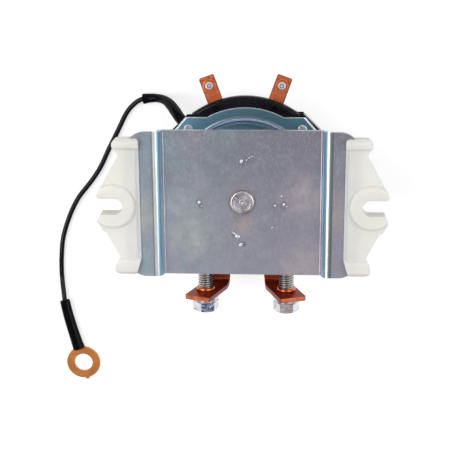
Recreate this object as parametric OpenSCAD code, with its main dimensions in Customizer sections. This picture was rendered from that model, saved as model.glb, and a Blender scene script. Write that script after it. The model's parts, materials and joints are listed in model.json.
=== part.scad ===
// Battery isolator relay, lying on its front cover with its mounting side up.
// The relay's axis is Z, Z = 0 is the cover's resting face, X runs from foot to foot,
// and the main terminals are on the -Y side.

/* [Bracket] */
// Height of the bracket along Y
bracket_h = 71; // [62:1:86]
// How far the bracket's middle lies from the relay's axis along Y
bracket_shift = -0.8; // [-1.8:0.1:1.8]
// Distance from the axis to the hidden outer edge of each flange
flange_reach = 55; // [52:0.5:64]
// Distance from the axis to the outer end of each joggle
joggle_x = 41.5; // [40:0.1:45.5]
// How far the centre panel sits below the flanges
joggle_depth = 4.5; // [3.6:0.1:7.2]
// Slope of the joggle
joggle_angle = 75; // [50:1:80]
// Thickness of the bracket strip
bracket_t = 2.4; // [1.5:0.1:3.1]
// Corner radius of the flanges
flange_corner_r = 9.1; // [3.6:0.1:12.8]

/* [Feet] */
// Distance from the axis to the tips of each foot
foot_reach = 69.1; // [66.5:0.1:83.5]
// How far each foot reaches over its flange
foot_overlap = 6.5; // [3.6:0.1:9]
// Height of each foot along Y
foot_h = 66.6; // [58:0.1:84]
// Width of the mounting slots
slot_w = 7.7; // [5.5:0.1:9]
// Distance between the centres of the slots' closed ends
slot_pitch = 121.2; // [117:0.2:136]
// Nylon over each face of the flange
foot_skin = 1.5; // [0.9:0.1:2.7]
// Nylon of the boss round the slot, over each face of the flange
boss_rise = 3.1; // [1.8:0.1:5.4]
// Radius of the boss round the slot
boss_r = 11.1; // [7.3:0.1:12.7]

/* [Can] */
// Outside radius of the can
can_r = 33.2; // [27.7:0.1:39.9]
// Height of the can above the near face of its flange
can_h = 32.5; // [27.5:0.1:42]
// Wall of the can
can_wall = 1.6; // [1.1:0.1:2.2]
// Thickness of the can's flange
can_flange_t = 1.8; // [1.1:0.1:2.7]
// How far the flange's round stretches stand out of the can
can_flange_out = 6.4; // [5.5:0.1:7.8]
// How far the flange's straight sides stand out of the can
can_side_out = 1.4; // [0.5:0.1:2.7]
// Metal of the ears outside the rivets' centres
can_ear_margin = 4.9; // [4:0.1:5.8]
// Direction in which the ears are cut off, from the X axis
can_ear_angle = 41; // [38:1:48]

/* [Base and cover] */
// How far the base's lower body and the cover stand out of the can
body_out = 3.6; // [3:0.1:4.5]
// How far the rim stands out of the lower body
rim_out = 8.2; // [7.8:0.1:10.9]
// Thickness of the base's rim
rim_t = 8.1; // [6.4:0.1:10.9]
// Rounding of the rim's edge
rim_round = 2; // [0.9:0.1:2.7]
// How far the lugs' straight sides stand out past the can's flange
lug_side_out = 1.3; // [0.4:0.1:2.2]
// How far the lugs' cut ends stand out past the flange's ears
lug_end_out = 0.6; // [0.2:0.1:1.8]
// Height of the base over the parting plane
base_h = 19.3; // [16.4:0.1:25.5]
// Height of the front cover, up to the parting plane
cover_h = 17; // [16.4:0.1:23.6]
// Wall of the front cover
cover_wall = 2.7; // [1.8:0.1:2.7]
// Thickness of the gasket under the can's flange
gasket_t = 0.75; // [0.4:0.05:1.4]

/* [Terminals] */
// Width of a main bar
bar_w = 14.2; // [11:0.1:17.1]
// Thickness of a main bar
bar_t = 2.3; // [1.8:0.1:3.2]
// Distance from the axis to the bars' inner edges
bar_gap = 9.2; // [8.9:0.1:10]
// Distance from the rim to the bent tab's inner face
bar_out = 13.4; // [11:0.1:21.8]
// How far each tab leans outwards
tab_lean = 20.5; // [16:0.5:24]
// Height of each bolt over the bar's upper face
bolt_rise = 15.9; // [14.6:0.1:18.2]
// Distance from the bolt to the tab's upper end
bolt_end = 10.9; // [8.2:0.1:13.6]
// Nominal size of the terminal bolts
bolt_d = 8; // [5:0.1:9.6]
// Distance across the flats of the bolt heads
bolt_flats = 12; // [10:0.5:14.5]
// Length of the bolts under the head
bolt_length = 20; // [14:0.5:20.5]
// Angle of each signal tab from +Y
signal_angle = 20; // [17:1:24]
// Width of a signal tab
signal_w = 7.9; // [6.4:0.1:10]
// Thickness of a signal tab
signal_t = 1.1; // [0.7:0.1:1.8]
// How far a signal tab stands out of the rim
signal_out = 13.1; // [10.9:0.1:16.4]
// Distance from the rim to a signal screw
signal_screw_out = 8.2; // [6.4:0.1:9.1]
// Nominal size of the signal screws
signal_d = 4; // [3:0.5:5.5]

/* [Mechanism] */
// Travel of the plunger
plunger_travel = 2.6; // [1.8:0.1:3.6]
// Open gap between the contact disc and the tips
contact_gap = 1.9; // [1.1:0.05:2]
// Radius of the plunger
plunger_r = 9.3; // [7.6:0.1:11.2]
// Radius of the plunger's rod
rod_r = 2.3; // [1.8:0.1:2.7]
// Radius of the contact disc
disc_r = 19.1; // [17.3:0.1:21.8]
// Thickness of the contact disc
disc_t = 2.3; // [1.8:0.1:2.7]
// Thickness of the pole plate
pole_t = 2.7; // [1.8:0.1:3.6]

/* [Lead] */
// Diameter of the lead
lead_d = 2.7; // [2.3:0.1:3.2]
// Diameter of its sleeves
sleeve_d = 5.5; // [4.6:0.1:5.8]
// Radius of the ring terminal
ring_r = 9.6; // [8.2:0.1:10.9]
// Radius of the ring terminal's hole
ring_hole_r = 5.25; // [3.65:0.05:5.9]
// Thickness of the ring terminal
ring_t = 1.3; // [0.9:0.1:1.5]

/* [Hidden] */
$fn = 96;
tiny = 0.01;
over = 1;

// Radii that follow the can
can_flange_r = can_r + can_flange_out;
can_flange_half = can_r + can_side_out;
body_r = can_r + body_out;
rim_r = body_r + rim_out;
rivet_head_r = 3.1;
rivet_clear = 0.65;
ear_rivet_r = body_r + rivet_head_r + rivet_clear;
can_ear_r = ear_rivet_r + can_ear_margin;
can_ear_x = can_flange_r - 0.5;
lug_half = can_flange_half + lug_side_out;
lug_r = can_ear_r + lug_end_out;
lug_x = rim_r - 4.1;
bar_reach = rim_r + bar_out;
signal_reach = rim_r + signal_out;
signal_screw_r = rim_r + signal_screw_out;

// Levels along the axis
z_part = cover_h;
z_bar_top = z_part + bar_t;
z_base_top = z_part + base_h;
z_rim = z_base_top - rim_t;
z_flange = z_base_top + gasket_t;
z_flange_top = z_flange + can_flange_t;
z_can_top = z_flange_top + can_h;
z_panel = z_can_top + bracket_t;
z_mount = z_panel + joggle_depth;

// Joggle
bend_in = 0.9;
bend_out = bend_in + bracket_t;
joggle_straight = (joggle_depth - (bend_in + bend_out) * (1 - cos(joggle_angle))) / sin(joggle_angle);
joggle_width = (bend_in + bend_out) * sin(joggle_angle) + joggle_straight * cos(joggle_angle);
joggle_start = joggle_x - joggle_width;
bend_steps = 8;

// Fixed core and its riveted head
spigot_r = 3.6;
head_r = 5.8;
head_h = 1.3;
head_bead_r = 0.8;
dish_r = 4.1;
dish_slope = 0.35;
dish_depth = 0.5;
hub_r = 1.35;
hub_h = 0.25;
centre_mark_r = 0.5;
weld_mark_r = 0.8;
weld_mark_ring = can_r - 12.9;
weld_mark_depth = 0.25;

// Flange anchors that the nylon fills
anchor_r = 2;
anchor_y = 17.3;
anchor_x = flange_reach - foot_overlap / 2;

// Foot outline, worked out from its reach, height and slot
foot_inner = flange_reach - foot_overlap;
foot_mid = bracket_shift - 0.7;
foot_top = foot_mid + foot_h / 2;
foot_bottom = foot_mid - foot_h / 2;
slot_y = bracket_shift;
slot_x = slot_pitch / 2;
bead_r = 3;
bead_x = foot_reach - 11.1;
bead_neck = 2.2;
heel_r = 2.9;
heel_x = foot_reach - 10.6;
heel_corner = [2.4, 5];
heel_step = 0.8;
rib_top_h = 5.6;
rib_bottom_h = 8.1;
rib_rise = 2.5;
rib_round = 2.2;
boss_round = 2;
boss_offset = [0.9, -0.2];
lip_w = 2.1;
lip_skin = 0.8;
inner_corner_r = 1.5;
tip_r = 1.3;
tip_up = 5.4;
tip_down = 7.6;
tip_step = 0.3;
chin_low = [[1, 4.7], [2.7, 5.5]];

// Can
can_shoulder_r = 5.5;
can_root_r = 2.5;
can_ear_bevel = 0.7;
rivet_r = 1.75;
rivet_tail_r = 2.4;
rivet_tail_h = 1.3;
rivet_roll_r = 0.6;
rivet_dimple_r = 0.8;
rivet_dimple_h = 0.8;
rivet_head_h = 2;
rivet_head_round = 0.8;
hole_gap = 0.1;
gasket_reach = 5.5;
gasket_inset = 0.4;

// Base
cutter = 12;
lug_angle = 45;
lug_bevel = 0.5;
rim_wall = 1.8;
rim_slope_in = 3.6;
plunger_gap = 0.4;
plunger_room_r = plunger_r + 1.8;
web_top = z_base_top - 4.5;
web_bottom = z_base_top - 13.6;
stop_t = 1.1;
stop_r = 8.2;
stop_gap = 0.5;
running_gap = 0.06;
disc_gap = 0.08;
bush_room_r = 7.8;
chamber_r = disc_r + 2.7;
chamber_wall = 2.2;
floor_t = 2.3;
screw_ring = body_r - 5.4;
screw_r = 1.75;
screw_head_r = 3.1;
screw_head_h = 2.2;
screw_head_gap = 0.3;
head_sunk = 0.4;
cross_slot = [3.3, 0.8, 1.8];
screw_boss_r = 4.2;
screw_depth = 7.3;
screw_length = z_part + screw_depth - 0.9 - head_sunk;
pocket_r = 1.55;
pocket_ring = rim_r - 3.9;
pocket_turn = signal_angle + 0.8;
pocket_depth = 1.6;
grommet_r = 3.8;
grommet_flange_r = 4.7;
grommet_depth = 3.6;
grommet_out = 1.5;
grommet_seat = 0.2;
lead_angle = 138.6;
cover_round = 3.2;

// Main bars
bar_bend_r = 1.8;
bar_end_y = 7.3;
bolt_lean = bolt_rise * tan(tab_lean) * 0.7;
bolt_x = bar_gap + bolt_lean + bar_w / 2 + 0.8;
bolt_z = z_bar_top + bolt_rise;
tab_low_inner = 12.2;
tab_low_outer = 8.4;
tab_corner_r = 1.1;
collar_r = bolt_d / 2 + 0.8;
collar_lip_r = 0.7;
collar_h = 2.2;
thread_gap = 0.05;
washer_gap = 0.2;
plain_t = 1.5;
plain_r = bolt_flats / 2 + 1;
spring_t = 1.7;
spring_r = bolt_flats / 2 + 0.3;
spring_split = 1.1;
split_lean = 32;
bolt_head_h = 5.2;
bolt_head_bevel = 0.8;
bolt_head_cut = 1.5;
bolt_point = 0.9;
bolt_turn = [-13, -2];
tip_button_r = 3.6;
tip_button_t = 0.9;
tip_x = bar_gap + 4.9;

// Signal tabs
signal_top = z_base_top - 2;
signal_inner = rim_r - 7.7;
signal_corner_r = 0.9;
signal_collar_r = signal_d / 2 + 0.9;
signal_collar_h = 0.5;
signal_tip_h = 1.1;
signal_tip_bevel = 0.4;
signal_dimple_r = 0.8;
signal_dimple_h = 0.4;
signal_head_r = signal_d / 2 + 1.8;
signal_head_h = 2.7;
signal_head_bevel = 0.9;
signal_cross = [4.2, 0.9, 2.4];
signal_washer_t = 0.9;

// Plunger stack
core_r = plunger_r;
core_bottom = z_can_top - 14.9;
residual_gap = 0.3;
plunger_top = core_bottom - plunger_travel - residual_gap;
plunger_bottom = web_top + stop_t + 0.1;
bobbin_in = plunger_r + plunger_gap;
bobbin_wall = 1.1;
bobbin_bottom = z_flange + pole_t;
bobbin_top = z_can_top - can_wall - 0.2;
bobbin_flange_t = 1.5;
bobbin_flange_r = can_r - can_wall - 0.7;
bobbin_far_r = bobbin_flange_r - 2;
coil_gap = 0.1;
coil_r = bobbin_flange_r - 2.4;
spring_gap = 0.05;
return_wire_r = 0.4;
return_mean_r = 3.1;
return_bore_r = 4;
return_depth = 7.3;
return_turns = 7;
rod_top = plunger_top - return_depth - 1.6;
rod_bottom = floor_t + 1.9;
disc_top = z_part - tip_button_t - contact_gap;
disc_bottom = disc_top - disc_t;
bush_r = rod_r + 1.5;
bush_flange_r = 6.4;
bush_flange_t = 1.6;
seat_t = 1;
seat_r = 6.4;
seat_top = disc_bottom - 3.6;
clip_t = 0.8;
clip_z = seat_top - seat_t - clip_t;
clip_r = 4;
clip_groove_r = rod_r - 0.5;
contact_wire_r = 0.45;
contact_mean_r = bush_r + 1.2;
contact_turns = 2.5;
spring_sides = 6;
turn_steps = 16;

// Route of the lead: its first sleeve, the bare lead and the last sleeve
lead_z = 21.8;
sleeve_route = [
    [-28.8, 25.4, 21.8], [-31.9, 28.1, 21.8], [-34.8, 30.8, 19.7], [-37.6, 33.7, 15.8],
    [-40.6, 36.4, 11.5], [-44, 38.2, 7.6], [-47.9, 38.8, 4.7], [-52.1, 38.7, 3.3],
    [-56.1, 38.2, 2.9]
];
lead_route = [
    [-56.1, 38.2, 2.9], [-59, 37, 2.5], [-61.7, 34.9, 2], [-64.4, 32.1, 1.6], [-66.6, 28.8, 1.5],
    [-68.5, 25.1, 1.5], [-72.1, 18, 1.5], [-76.3, 10, 1.5], [-81, 0.5, 1.5], [-85, -5.6, 1.5],
    [-89.8, -11.7, 1.5], [-93.1, -15.7, 1.5], [-95.9, -20.1, 1.5], [-98.3, -24.8, 1.5],
    [-100.5, -30, 1.5], [-102.5, -35.6, 1.5], [-104.1, -41.5, 1.5], [-105.2, -50, 1.5],
    [-105.7, -58.4, 1.5], [-105.5, -66.9, 1.8], [-105, -71.9, 2.5], [-104.5, -77.4, 2.9]
];
end_route = [
    [-104.5, -77.4, 2.9], [-103.2, -84.6, 2.9], [-101.4, -92.4, 2.9], [-99.5, -99.7, 2.9],
    [-97.7, -106.5, 2.9]
];
ring_centre = [-95.8, -115.8];
ring_z = 0.2;
tongue_in = 1.5;
tongue_w = 5.9;
nub_r = 1.2;
nub_sunk = 0.2;

// Shapes used by more than one piece

module ring_solid(outer_r, inner_r, z0, h) {
    translate([0, 0, z0]) difference() {
        cylinder(r = outer_r, h = h);
        translate([0, 0, -over]) cylinder(r = inner_r, h = h + 2 * over);
    }
}

module rounded_plate(w, h, r) {
    union() {
        square([w - 2 * r, h], center = true);
        square([w, h - 2 * r], center = true);
        for (x = [-1, 1], y = [-1, 1]) translate([x * (w / 2 - r), y * (h / 2 - r)]) circle(r);
    }
}

// A rectangle whose corners are cut off square to the given direction, at the given distance
module cut_plate(half_x, half_y, reach, angle) {
    x = (reach - half_y * sin(angle)) / cos(angle);
    y = (reach - half_x * cos(angle)) / sin(angle);
    polygon([[x, half_y], [half_x, y], [half_x, -y], [x, -half_y],
        [-x, -half_y], [-half_x, -y], [-half_x, y], [-x, half_y]]);
}

module at_cuts(angle) {
    for (a = [angle, 180 - angle, 180 + angle, -angle]) rotate(a) children();
}

// What a bevel takes off the upper edge of each cut corner
module cut_bevels(reach, angle, top, bevel) {
    w = 4 * cutter;
    at_cuts(angle) translate([reach - bevel / 2, 0, top - bevel / 2]) rotate([0, 45, 0])
        translate([-cutter, -w / 2, 0]) cube([2 * cutter, w, cutter]);
}

module at_ears() {
    for (a = [45 : 90 : 315]) rotate(a) translate([ear_rivet_r, 0, 0]) children();
}

module at_cover_screws() {
    for (a = [0 : 90 : 270]) rotate(a) translate([screw_ring, 0, 0]) children();
}

// A tube swept along a route of points, closed at both ends
function unit(v) = v / norm(v);
function along(p, i) = unit(p[min(i + 1, len(p) - 1)] - p[max(i - 1, 0)]);
function ring_point(p, i, r, a) =
    let (t = along(p, i), side = unit(cross(t, [0, 0, 1])), up = cross(side, t))
    p[i] + r * (cos(a) * side + sin(a) * up);

module swept_tube(route, r, sides) {
    count = len(route);
    points = [for (i = [0 : count - 1], k = [0 : sides - 1]) ring_point(route, i, r, k * 360 / sides)];
    walls = [
        for (i = [0 : count - 2], k = [0 : sides - 1], half = [0, 1])
            let (a = i * sides + k, b = i * sides + (k + 1) % sides)
            half == 0 ? [a, b, b + sides] : [a, b + sides, a + sides]
    ];
    start = [[for (k = [sides - 1 : -1 : 0]) k]];
    finish = [[for (k = [0 : sides - 1]) (count - 1) * sides + k]];
    polyhedron(points = points, faces = concat(walls, start, finish), convexity = 6);
}

// A round wire wound into a spring, with its end turns closed
function spring_rise(u, turns) = u < 1 ? 0.12 * u : u > turns - 1 ? 1 - 0.12 * (turns - u) :
    0.12 + (u - 1) / (turns - 2) * 0.76;

module coil_spring(mean_r, wire_r, z0, z1, turns) {
    low = z0 + wire_r;
    rise = z1 - wire_r - low;
    steps = turns * turn_steps;
    route = [
        for (i = [0 : steps])
            let (u = i / turn_steps)
            [mean_r * cos(360 * u), mean_r * sin(360 * u), low + rise * spring_rise(u, turns)]
    ];
    swept_tube(route, wire_r, spring_sides);
}

// Bracket

function joggle_near() = concat(
    [for (k = [0 : bend_steps]) let (a = joggle_angle * k / bend_steps)
        [joggle_start + bend_in * sin(a), z_panel + bend_in * (1 - cos(a))]],
    [for (k = [0 : bend_steps]) let (a = joggle_angle * (1 - k / bend_steps))
        [joggle_x - bend_out * sin(a), z_mount - bend_out * (1 - cos(a))]]);

function joggle_far() = concat(
    [for (k = [0 : bend_steps]) let (a = joggle_angle * k / bend_steps)
        [joggle_x - bend_in * sin(a), z_mount - bend_out + bend_in * cos(a)]],
    [for (k = [0 : bend_steps]) let (a = joggle_angle * (1 - k / bend_steps))
        [joggle_start + bend_out * sin(a), z_panel + bend_in - bend_out * cos(a)]]);

function half_edge() = concat(joggle_near(), [[flange_reach, z_mount], [flange_reach, z_mount - bracket_t]],
    joggle_far());

module bracket_section() {
    right = half_edge();
    last = len(right) - 1;
    polygon(concat(right, [for (k = [last : -1 : 0]) [-right[k][0], right[k][1]]]));
}

module flange_plan() {
    translate([0, bracket_shift]) rounded_plate(2 * flange_reach, bracket_h, flange_corner_r);
}

module at_anchors() {
    for (x = [-1, 1], y = [-1, 1]) translate([x * anchor_x, slot_y + y * anchor_y, 0]) children();
}

module bracket() {
    color("#8b8f9b") difference() {
        intersection() {
            translate([0, bracket_shift, 0]) rotate([90, 0, 0])
                linear_extrude(bracket_h + 2 * over, center = true) bracket_section();
            linear_extrude(z_mount + over) flange_plan();
        }
        cylinder(r = spigot_r, h = z_mount + over);
        at_anchors() cylinder(r = anchor_r, h = z_mount + over);
        for (a = [0 : 90 : 270]) rotate(a) translate([weld_mark_ring, 0, z_panel - weld_mark_depth])
            cylinder(r = weld_mark_r, h = over, $fn = 32);
    }
}

// Feet

function arc(c, r, a0, a1, n) = [
    for (k = [0 : n])
        let (a = a0 + (a1 - a0) * k / n)
        c + r * [cos(a), sin(a)]
];

module foot_outline() {
    tips_x = foot_reach - tip_r;
    polygon(concat(
        arc([foot_inner + inner_corner_r, foot_top - inner_corner_r], inner_corner_r, 180, 90, 6),
        arc([bead_x, foot_top - bead_r], bead_r, 90, -40, 12),
        [[bead_x + tip_step, foot_top - rib_top_h - bead_neck]],
        arc([tips_x, slot_y + tip_up], tip_r, 28, -60, 6),
        [[tips_x, slot_y], [tips_x - tip_step, slot_y - slot_w / 2]],
        arc([tips_x, slot_y - tip_down], tip_r, 20, -20, 4),
        [for (p = chin_low) [tips_x - p[0], slot_y - tip_down - p[1]]],
        [[heel_x + tip_step, foot_bottom + rib_bottom_h + 2 * tip_step]],
        arc([heel_x, foot_bottom + heel_r], heel_r, 30, -90, 10),
        [[foot_inner + heel_corner[0], foot_bottom]],
        [[foot_inner + heel_step, foot_bottom + heel_corner[1]], [foot_inner, foot_bottom + rib_bottom_h]]));
}

// Half of the foot's thickness where its nylon stands the given height over the flange
function half_thick(rise) = bracket_t / 2 + rise;

// The web between the ribs, thinner along its edge on the flange
module foot_web() {
    low = half_thick(lip_skin);
    full = half_thick(foot_skin);
    lip = foot_inner + lip_w;
    rotate([90, 0, 0]) linear_extrude(2 * bracket_h, center = true) polygon([
        [foot_inner - over, -low], [foot_inner + lip_w / 2, -low], [lip, -full], [2 * foot_reach, -full],
        [2 * foot_reach, full], [lip, full], [foot_inner + lip_w / 2, low], [foot_inner - over, low]]);
}

module foot_rib(from_y, h) {
    translate([0, from_y + h / 2, 0]) rotate([90, 0, 90]) linear_extrude(2 * foot_reach)
        rounded_plate(h, 2 * half_thick(rib_rise), rib_round);
}

module foot_boss() {
    half = half_thick(boss_rise);
    translate([slot_x + boss_offset[0], slot_y + boss_offset[1], 0]) rotate_extrude() union() {
        translate([0, -half]) square([boss_r - boss_round, 2 * half]);
        translate([0, boss_round - half]) square([boss_r, 2 * (half - boss_round)]);
        for (y = [-1, 1]) translate([boss_r - boss_round, y * (half - boss_round)])
            circle(boss_round, $fn = 48);
    }
}

module right_foot_solid() {
    difference() {
        intersection() {
            translate([0, 0, z_mount - bracket_t - 2 * boss_rise]) linear_extrude(bracket_t + 4 * boss_rise)
                foot_outline();
            translate([0, 0, z_mount - bracket_t / 2]) union() {
                foot_web();
                foot_boss();
                foot_rib(foot_top - rib_top_h, rib_top_h);
                foot_rib(foot_bottom, rib_bottom_h);
            }
        }
        difference() {
            translate([0, 0, z_mount - bracket_t]) linear_extrude(bracket_t) flange_plan();
            at_anchors() cylinder(r = anchor_r, h = 2 * z_mount);
        }
        translate([slot_x, slot_y, z_mount - bracket_t - 2 * boss_rise]) {
            cylinder(r = slot_w / 2, h = bracket_t + 4 * boss_rise);
            translate([0, -slot_w / 2, 0]) cube([foot_reach, slot_w, bracket_t + 4 * boss_rise]);
        }
    }
}

module left_foot() {
    color("#e9e6dc") mirror([1, 0, 0]) right_foot_solid();
}

module right_foot() {
    color("#e9e6dc") right_foot_solid();
}

// Can, core and coil

module can() {
    inner_r = can_r - can_wall;
    mouth_r = can_root_r + can_flange_t;
    shoulder_in = can_shoulder_r - can_wall;
    color("#476f82") difference() {
        union() {
            translate([0, 0, z_flange]) linear_extrude(can_flange_t) union() {
                circle(can_flange_r);
                cut_plate(can_ear_x, can_flange_half, can_ear_r, can_ear_angle);
            }
            rotate_extrude() difference() {
                union() {
                    translate([0, z_flange]) square([can_r, z_can_top - z_flange - can_shoulder_r]);
                    translate([0, z_flange]) square([can_r - can_shoulder_r, z_can_top - z_flange]);
                    translate([can_r - can_shoulder_r, z_can_top - can_shoulder_r]) intersection() {
                        circle(can_shoulder_r);
                        square(can_shoulder_r);
                    }
                    translate([can_r - tiny, z_flange])
                        square([can_root_r + tiny, can_flange_t + can_root_r]);
                }
                translate([can_r + can_root_r, z_flange_top + can_root_r]) circle(can_root_r);
            }
        }
        rotate_extrude() {
            translate([0, z_flange - over]) square([inner_r, z_can_top - z_flange - can_shoulder_r + over]);
            translate([0, z_flange]) square([can_r - can_shoulder_r, z_can_top - z_flange - can_wall]);
            translate([can_r - can_shoulder_r, z_can_top - can_shoulder_r]) intersection() {
                circle(shoulder_in);
                square(shoulder_in);
            }
            difference() {
                translate([0, z_flange - over]) square([inner_r + mouth_r, mouth_r + over]);
                translate([inner_r + mouth_r, z_flange + mouth_r]) circle(mouth_r);
                translate([inner_r + mouth_r, z_flange - 2 * over]) square([over, mouth_r + 3 * over]);
            }
        }
        cylinder(r = spigot_r, h = z_can_top + over);
        at_ears() cylinder(r = rivet_r + hole_gap, h = z_can_top);
        cut_bevels(can_ear_r, can_ear_angle, z_flange_top, can_ear_bevel);
    }
}

module core() {
    color("#a9adb3") difference() {
        union() {
            translate([0, 0, core_bottom]) cylinder(r = core_r, h = z_can_top - can_wall - core_bottom);
            translate([0, 0, core_bottom]) cylinder(r = spigot_r, h = z_panel - core_bottom + tiny);
            rotate_extrude() translate([0, z_panel]) union() {
                square([head_r - head_bead_r, head_h]);
                square([head_r, head_h - head_bead_r]);
                intersection() {
                    translate([head_r - head_bead_r, head_h - head_bead_r]) circle(head_bead_r, $fn = 48);
                    square([head_r, head_h]);
                }
            }
        }
        difference() {
            translate([0, 0, z_panel + head_h - dish_depth])
                cylinder(r1 = dish_r - dish_slope, r2 = dish_r + dish_slope, h = 2 * dish_depth);
            ring_solid(hub_r, centre_mark_r, z_panel + head_h - dish_depth - tiny, hub_h);
        }
        translate([0, 0, core_bottom - over]) cylinder(r = return_bore_r, h = return_depth + over);
    }
}

module pole_plate() {
    color("#9ea2a8") ring_solid(can_r - can_wall - hole_gap, bobbin_in, z_flange, pole_t);
}

module bobbin() {
    color("#d8c9a0") union() {
        ring_solid(bobbin_in + bobbin_wall, bobbin_in, bobbin_bottom, bobbin_top - bobbin_bottom);
        ring_solid(bobbin_flange_r, bobbin_in, bobbin_bottom, bobbin_flange_t);
        ring_solid(bobbin_far_r, bobbin_in, bobbin_top - bobbin_flange_t, bobbin_flange_t);
    }
}

module coil() {
    bottom = bobbin_bottom + bobbin_flange_t + coil_gap;
    color("#8a3f1d") ring_solid(coil_r, bobbin_in + bobbin_wall + coil_gap, bottom,
        bobbin_top - bobbin_flange_t - coil_gap - bottom);
}

// Plunger and contact carrier

module plunger() {
    color("#9ea2a8") difference() {
        translate([0, 0, plunger_bottom]) cylinder(r = plunger_r, h = plunger_top - plunger_bottom);
        translate([0, 0, plunger_top - return_depth]) cylinder(r = return_bore_r, h = return_depth + over);
        translate([0, 0, plunger_bottom - over]) cylinder(r = rod_r, h = rod_top - plunger_bottom + over);
    }
}

module plunger_rod() {
    color("#b5b8bd") difference() {
        translate([0, 0, rod_bottom]) cylinder(r = rod_r, h = rod_top - rod_bottom);
        ring_solid(rod_r + over, clip_groove_r, clip_z, clip_t);
    }
}

module stop_washer() {
    color("#6b4a2f") ring_solid(stop_r, rod_r + stop_gap, web_top, stop_t);
}

module return_spring() {
    color("#c2c5c9") coil_spring(return_mean_r, return_wire_r, plunger_top - return_depth + spring_gap,
        core_bottom + return_depth - spring_gap, return_turns);
}

module insulating_bush() {
    color("#7a3b25") union() {
        ring_solid(bush_r, rod_r, seat_top, disc_top - seat_top + bush_flange_t);
        ring_solid(bush_flange_r, rod_r, disc_top + spring_gap, bush_flange_t - spring_gap);
    }
}

module spring_seat() {
    color("#7a3b25") ring_solid(seat_r, rod_r, seat_top - seat_t, seat_t);
}

module rod_clip() {
    color("#5c6066") difference() {
        ring_solid(clip_r, clip_groove_r, clip_z, clip_t);
        translate([0, -clip_groove_r, clip_z - over])
            cube([2 * clip_r, 2 * clip_groove_r, clip_t + 2 * over]);
    }
}

module contact_disc() {
    color("#b5652f") ring_solid(disc_r, bush_r + disc_gap, disc_bottom, disc_t);
}

module contact_spring() {
    color("#c2c5c9") coil_spring(contact_mean_r, contact_wire_r, seat_top + spring_gap,
        disc_bottom - spring_gap, contact_turns);
}

// Base, gasket and cover

module bar_channel() {
    translate([bar_gap, -2 * body_r, z_part - over]) cube([bar_w, 2 * body_r + bar_end_y, bar_t + over]);
}

module signal_slot() {
    rotate(-signal_angle) translate([-signal_w / 2, signal_inner, signal_top - signal_t])
        cube([signal_w, rim_r, signal_t]);
}

module base_block() {
    z_wall = z_base_top - rim_round - rim_wall;
    union() {
        rotate_extrude() union() {
            polygon([[0, z_rim], [rim_r - rim_slope_in, z_rim], [rim_r, z_wall],
                [rim_r, z_base_top - rim_round], [0, z_base_top - rim_round]]);
            translate([0, z_rim]) square([rim_r - rim_round, rim_t]);
            translate([rim_r - rim_round, z_base_top - rim_round]) circle(rim_round);
        }
        difference() {
            translate([0, 0, z_rim]) linear_extrude(rim_t) cut_plate(lug_x, lug_half, lug_r, lug_angle);
            cut_bevels(lug_r, lug_angle, z_base_top, lug_bevel);
        }
        translate([0, 0, z_part]) cylinder(r = body_r, h = z_rim - z_part + over);
    }
}

module at_grommet() {
    translate([0, 0, lead_z]) rotate([0, 0, lead_angle]) rotate([0, 90, 0]) children();
}

module terminal_base() {
    color("#1b1b1e") difference() {
        base_block();
        translate([0, 0, web_top]) cylinder(r = plunger_room_r, h = z_base_top);
        translate([0, 0, z_part - over]) cylinder(r = bush_room_r, h = web_bottom - z_part + over);
        cylinder(r = rod_r + running_gap, h = z_base_top + over);
        bar_channel();
        mirror([1, 0, 0]) bar_channel();
        signal_slot();
        mirror([1, 0, 0]) signal_slot();
        for (s = [-1, 1]) rotate(s * pocket_turn) translate([0, pocket_ring, z_base_top - pocket_depth])
            cylinder(r = pocket_r, h = pocket_depth + over, $fn = 32);
        at_ears() translate([0, 0, z_rim - over]) cylinder(r = rivet_r + hole_gap, h = rim_t + 2 * over);
        at_cover_screws() translate([0, 0, z_part - over]) cylinder(r = screw_r, h = screw_depth + over);
        at_grommet() translate([0, 0, body_r - grommet_depth])
            cylinder(r = grommet_r, h = 2 * grommet_depth);
    }
}

module flange_gasket() {
    color("#232321") difference() {
        translate([0, 0, z_base_top]) union() {
            cylinder(r = can_flange_r - gasket_inset, h = gasket_t);
            linear_extrude(gasket_t) cut_plate(can_ear_x - gasket_inset, can_flange_half - gasket_inset,
                can_ear_r - can_ear_bevel, can_ear_angle);
        }
        cylinder(r = can_r - gasket_reach, h = z_flange + over);
        at_ears() cylinder(r = rivet_r + hole_gap, h = z_flange + over);
    }
}

module front_cover() {
    inner_r = body_r - cover_wall;
    color("#1b1b1e") difference() {
        rotate_extrude() union() {
            translate([0, cover_round]) square([body_r, cover_h - cover_round]);
            square([body_r - cover_round, cover_h]);
            translate([body_r - cover_round, cover_round]) circle(cover_round);
        }
        difference() {
            translate([0, 0, floor_t]) cylinder(r = inner_r, h = cover_h);
            ring_solid(chamber_r + chamber_wall, chamber_r, 0, cover_h);
            at_cover_screws() cylinder(r = screw_boss_r, h = cover_h);
        }
        at_cover_screws() {
            translate([0, 0, -over]) cylinder(r = screw_r + hole_gap, h = cover_h + 2 * over);
            translate([0, 0, -over])
                cylinder(r = screw_head_r + screw_head_gap, h = screw_head_h + over + head_sunk);
        }
    }
}

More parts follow.
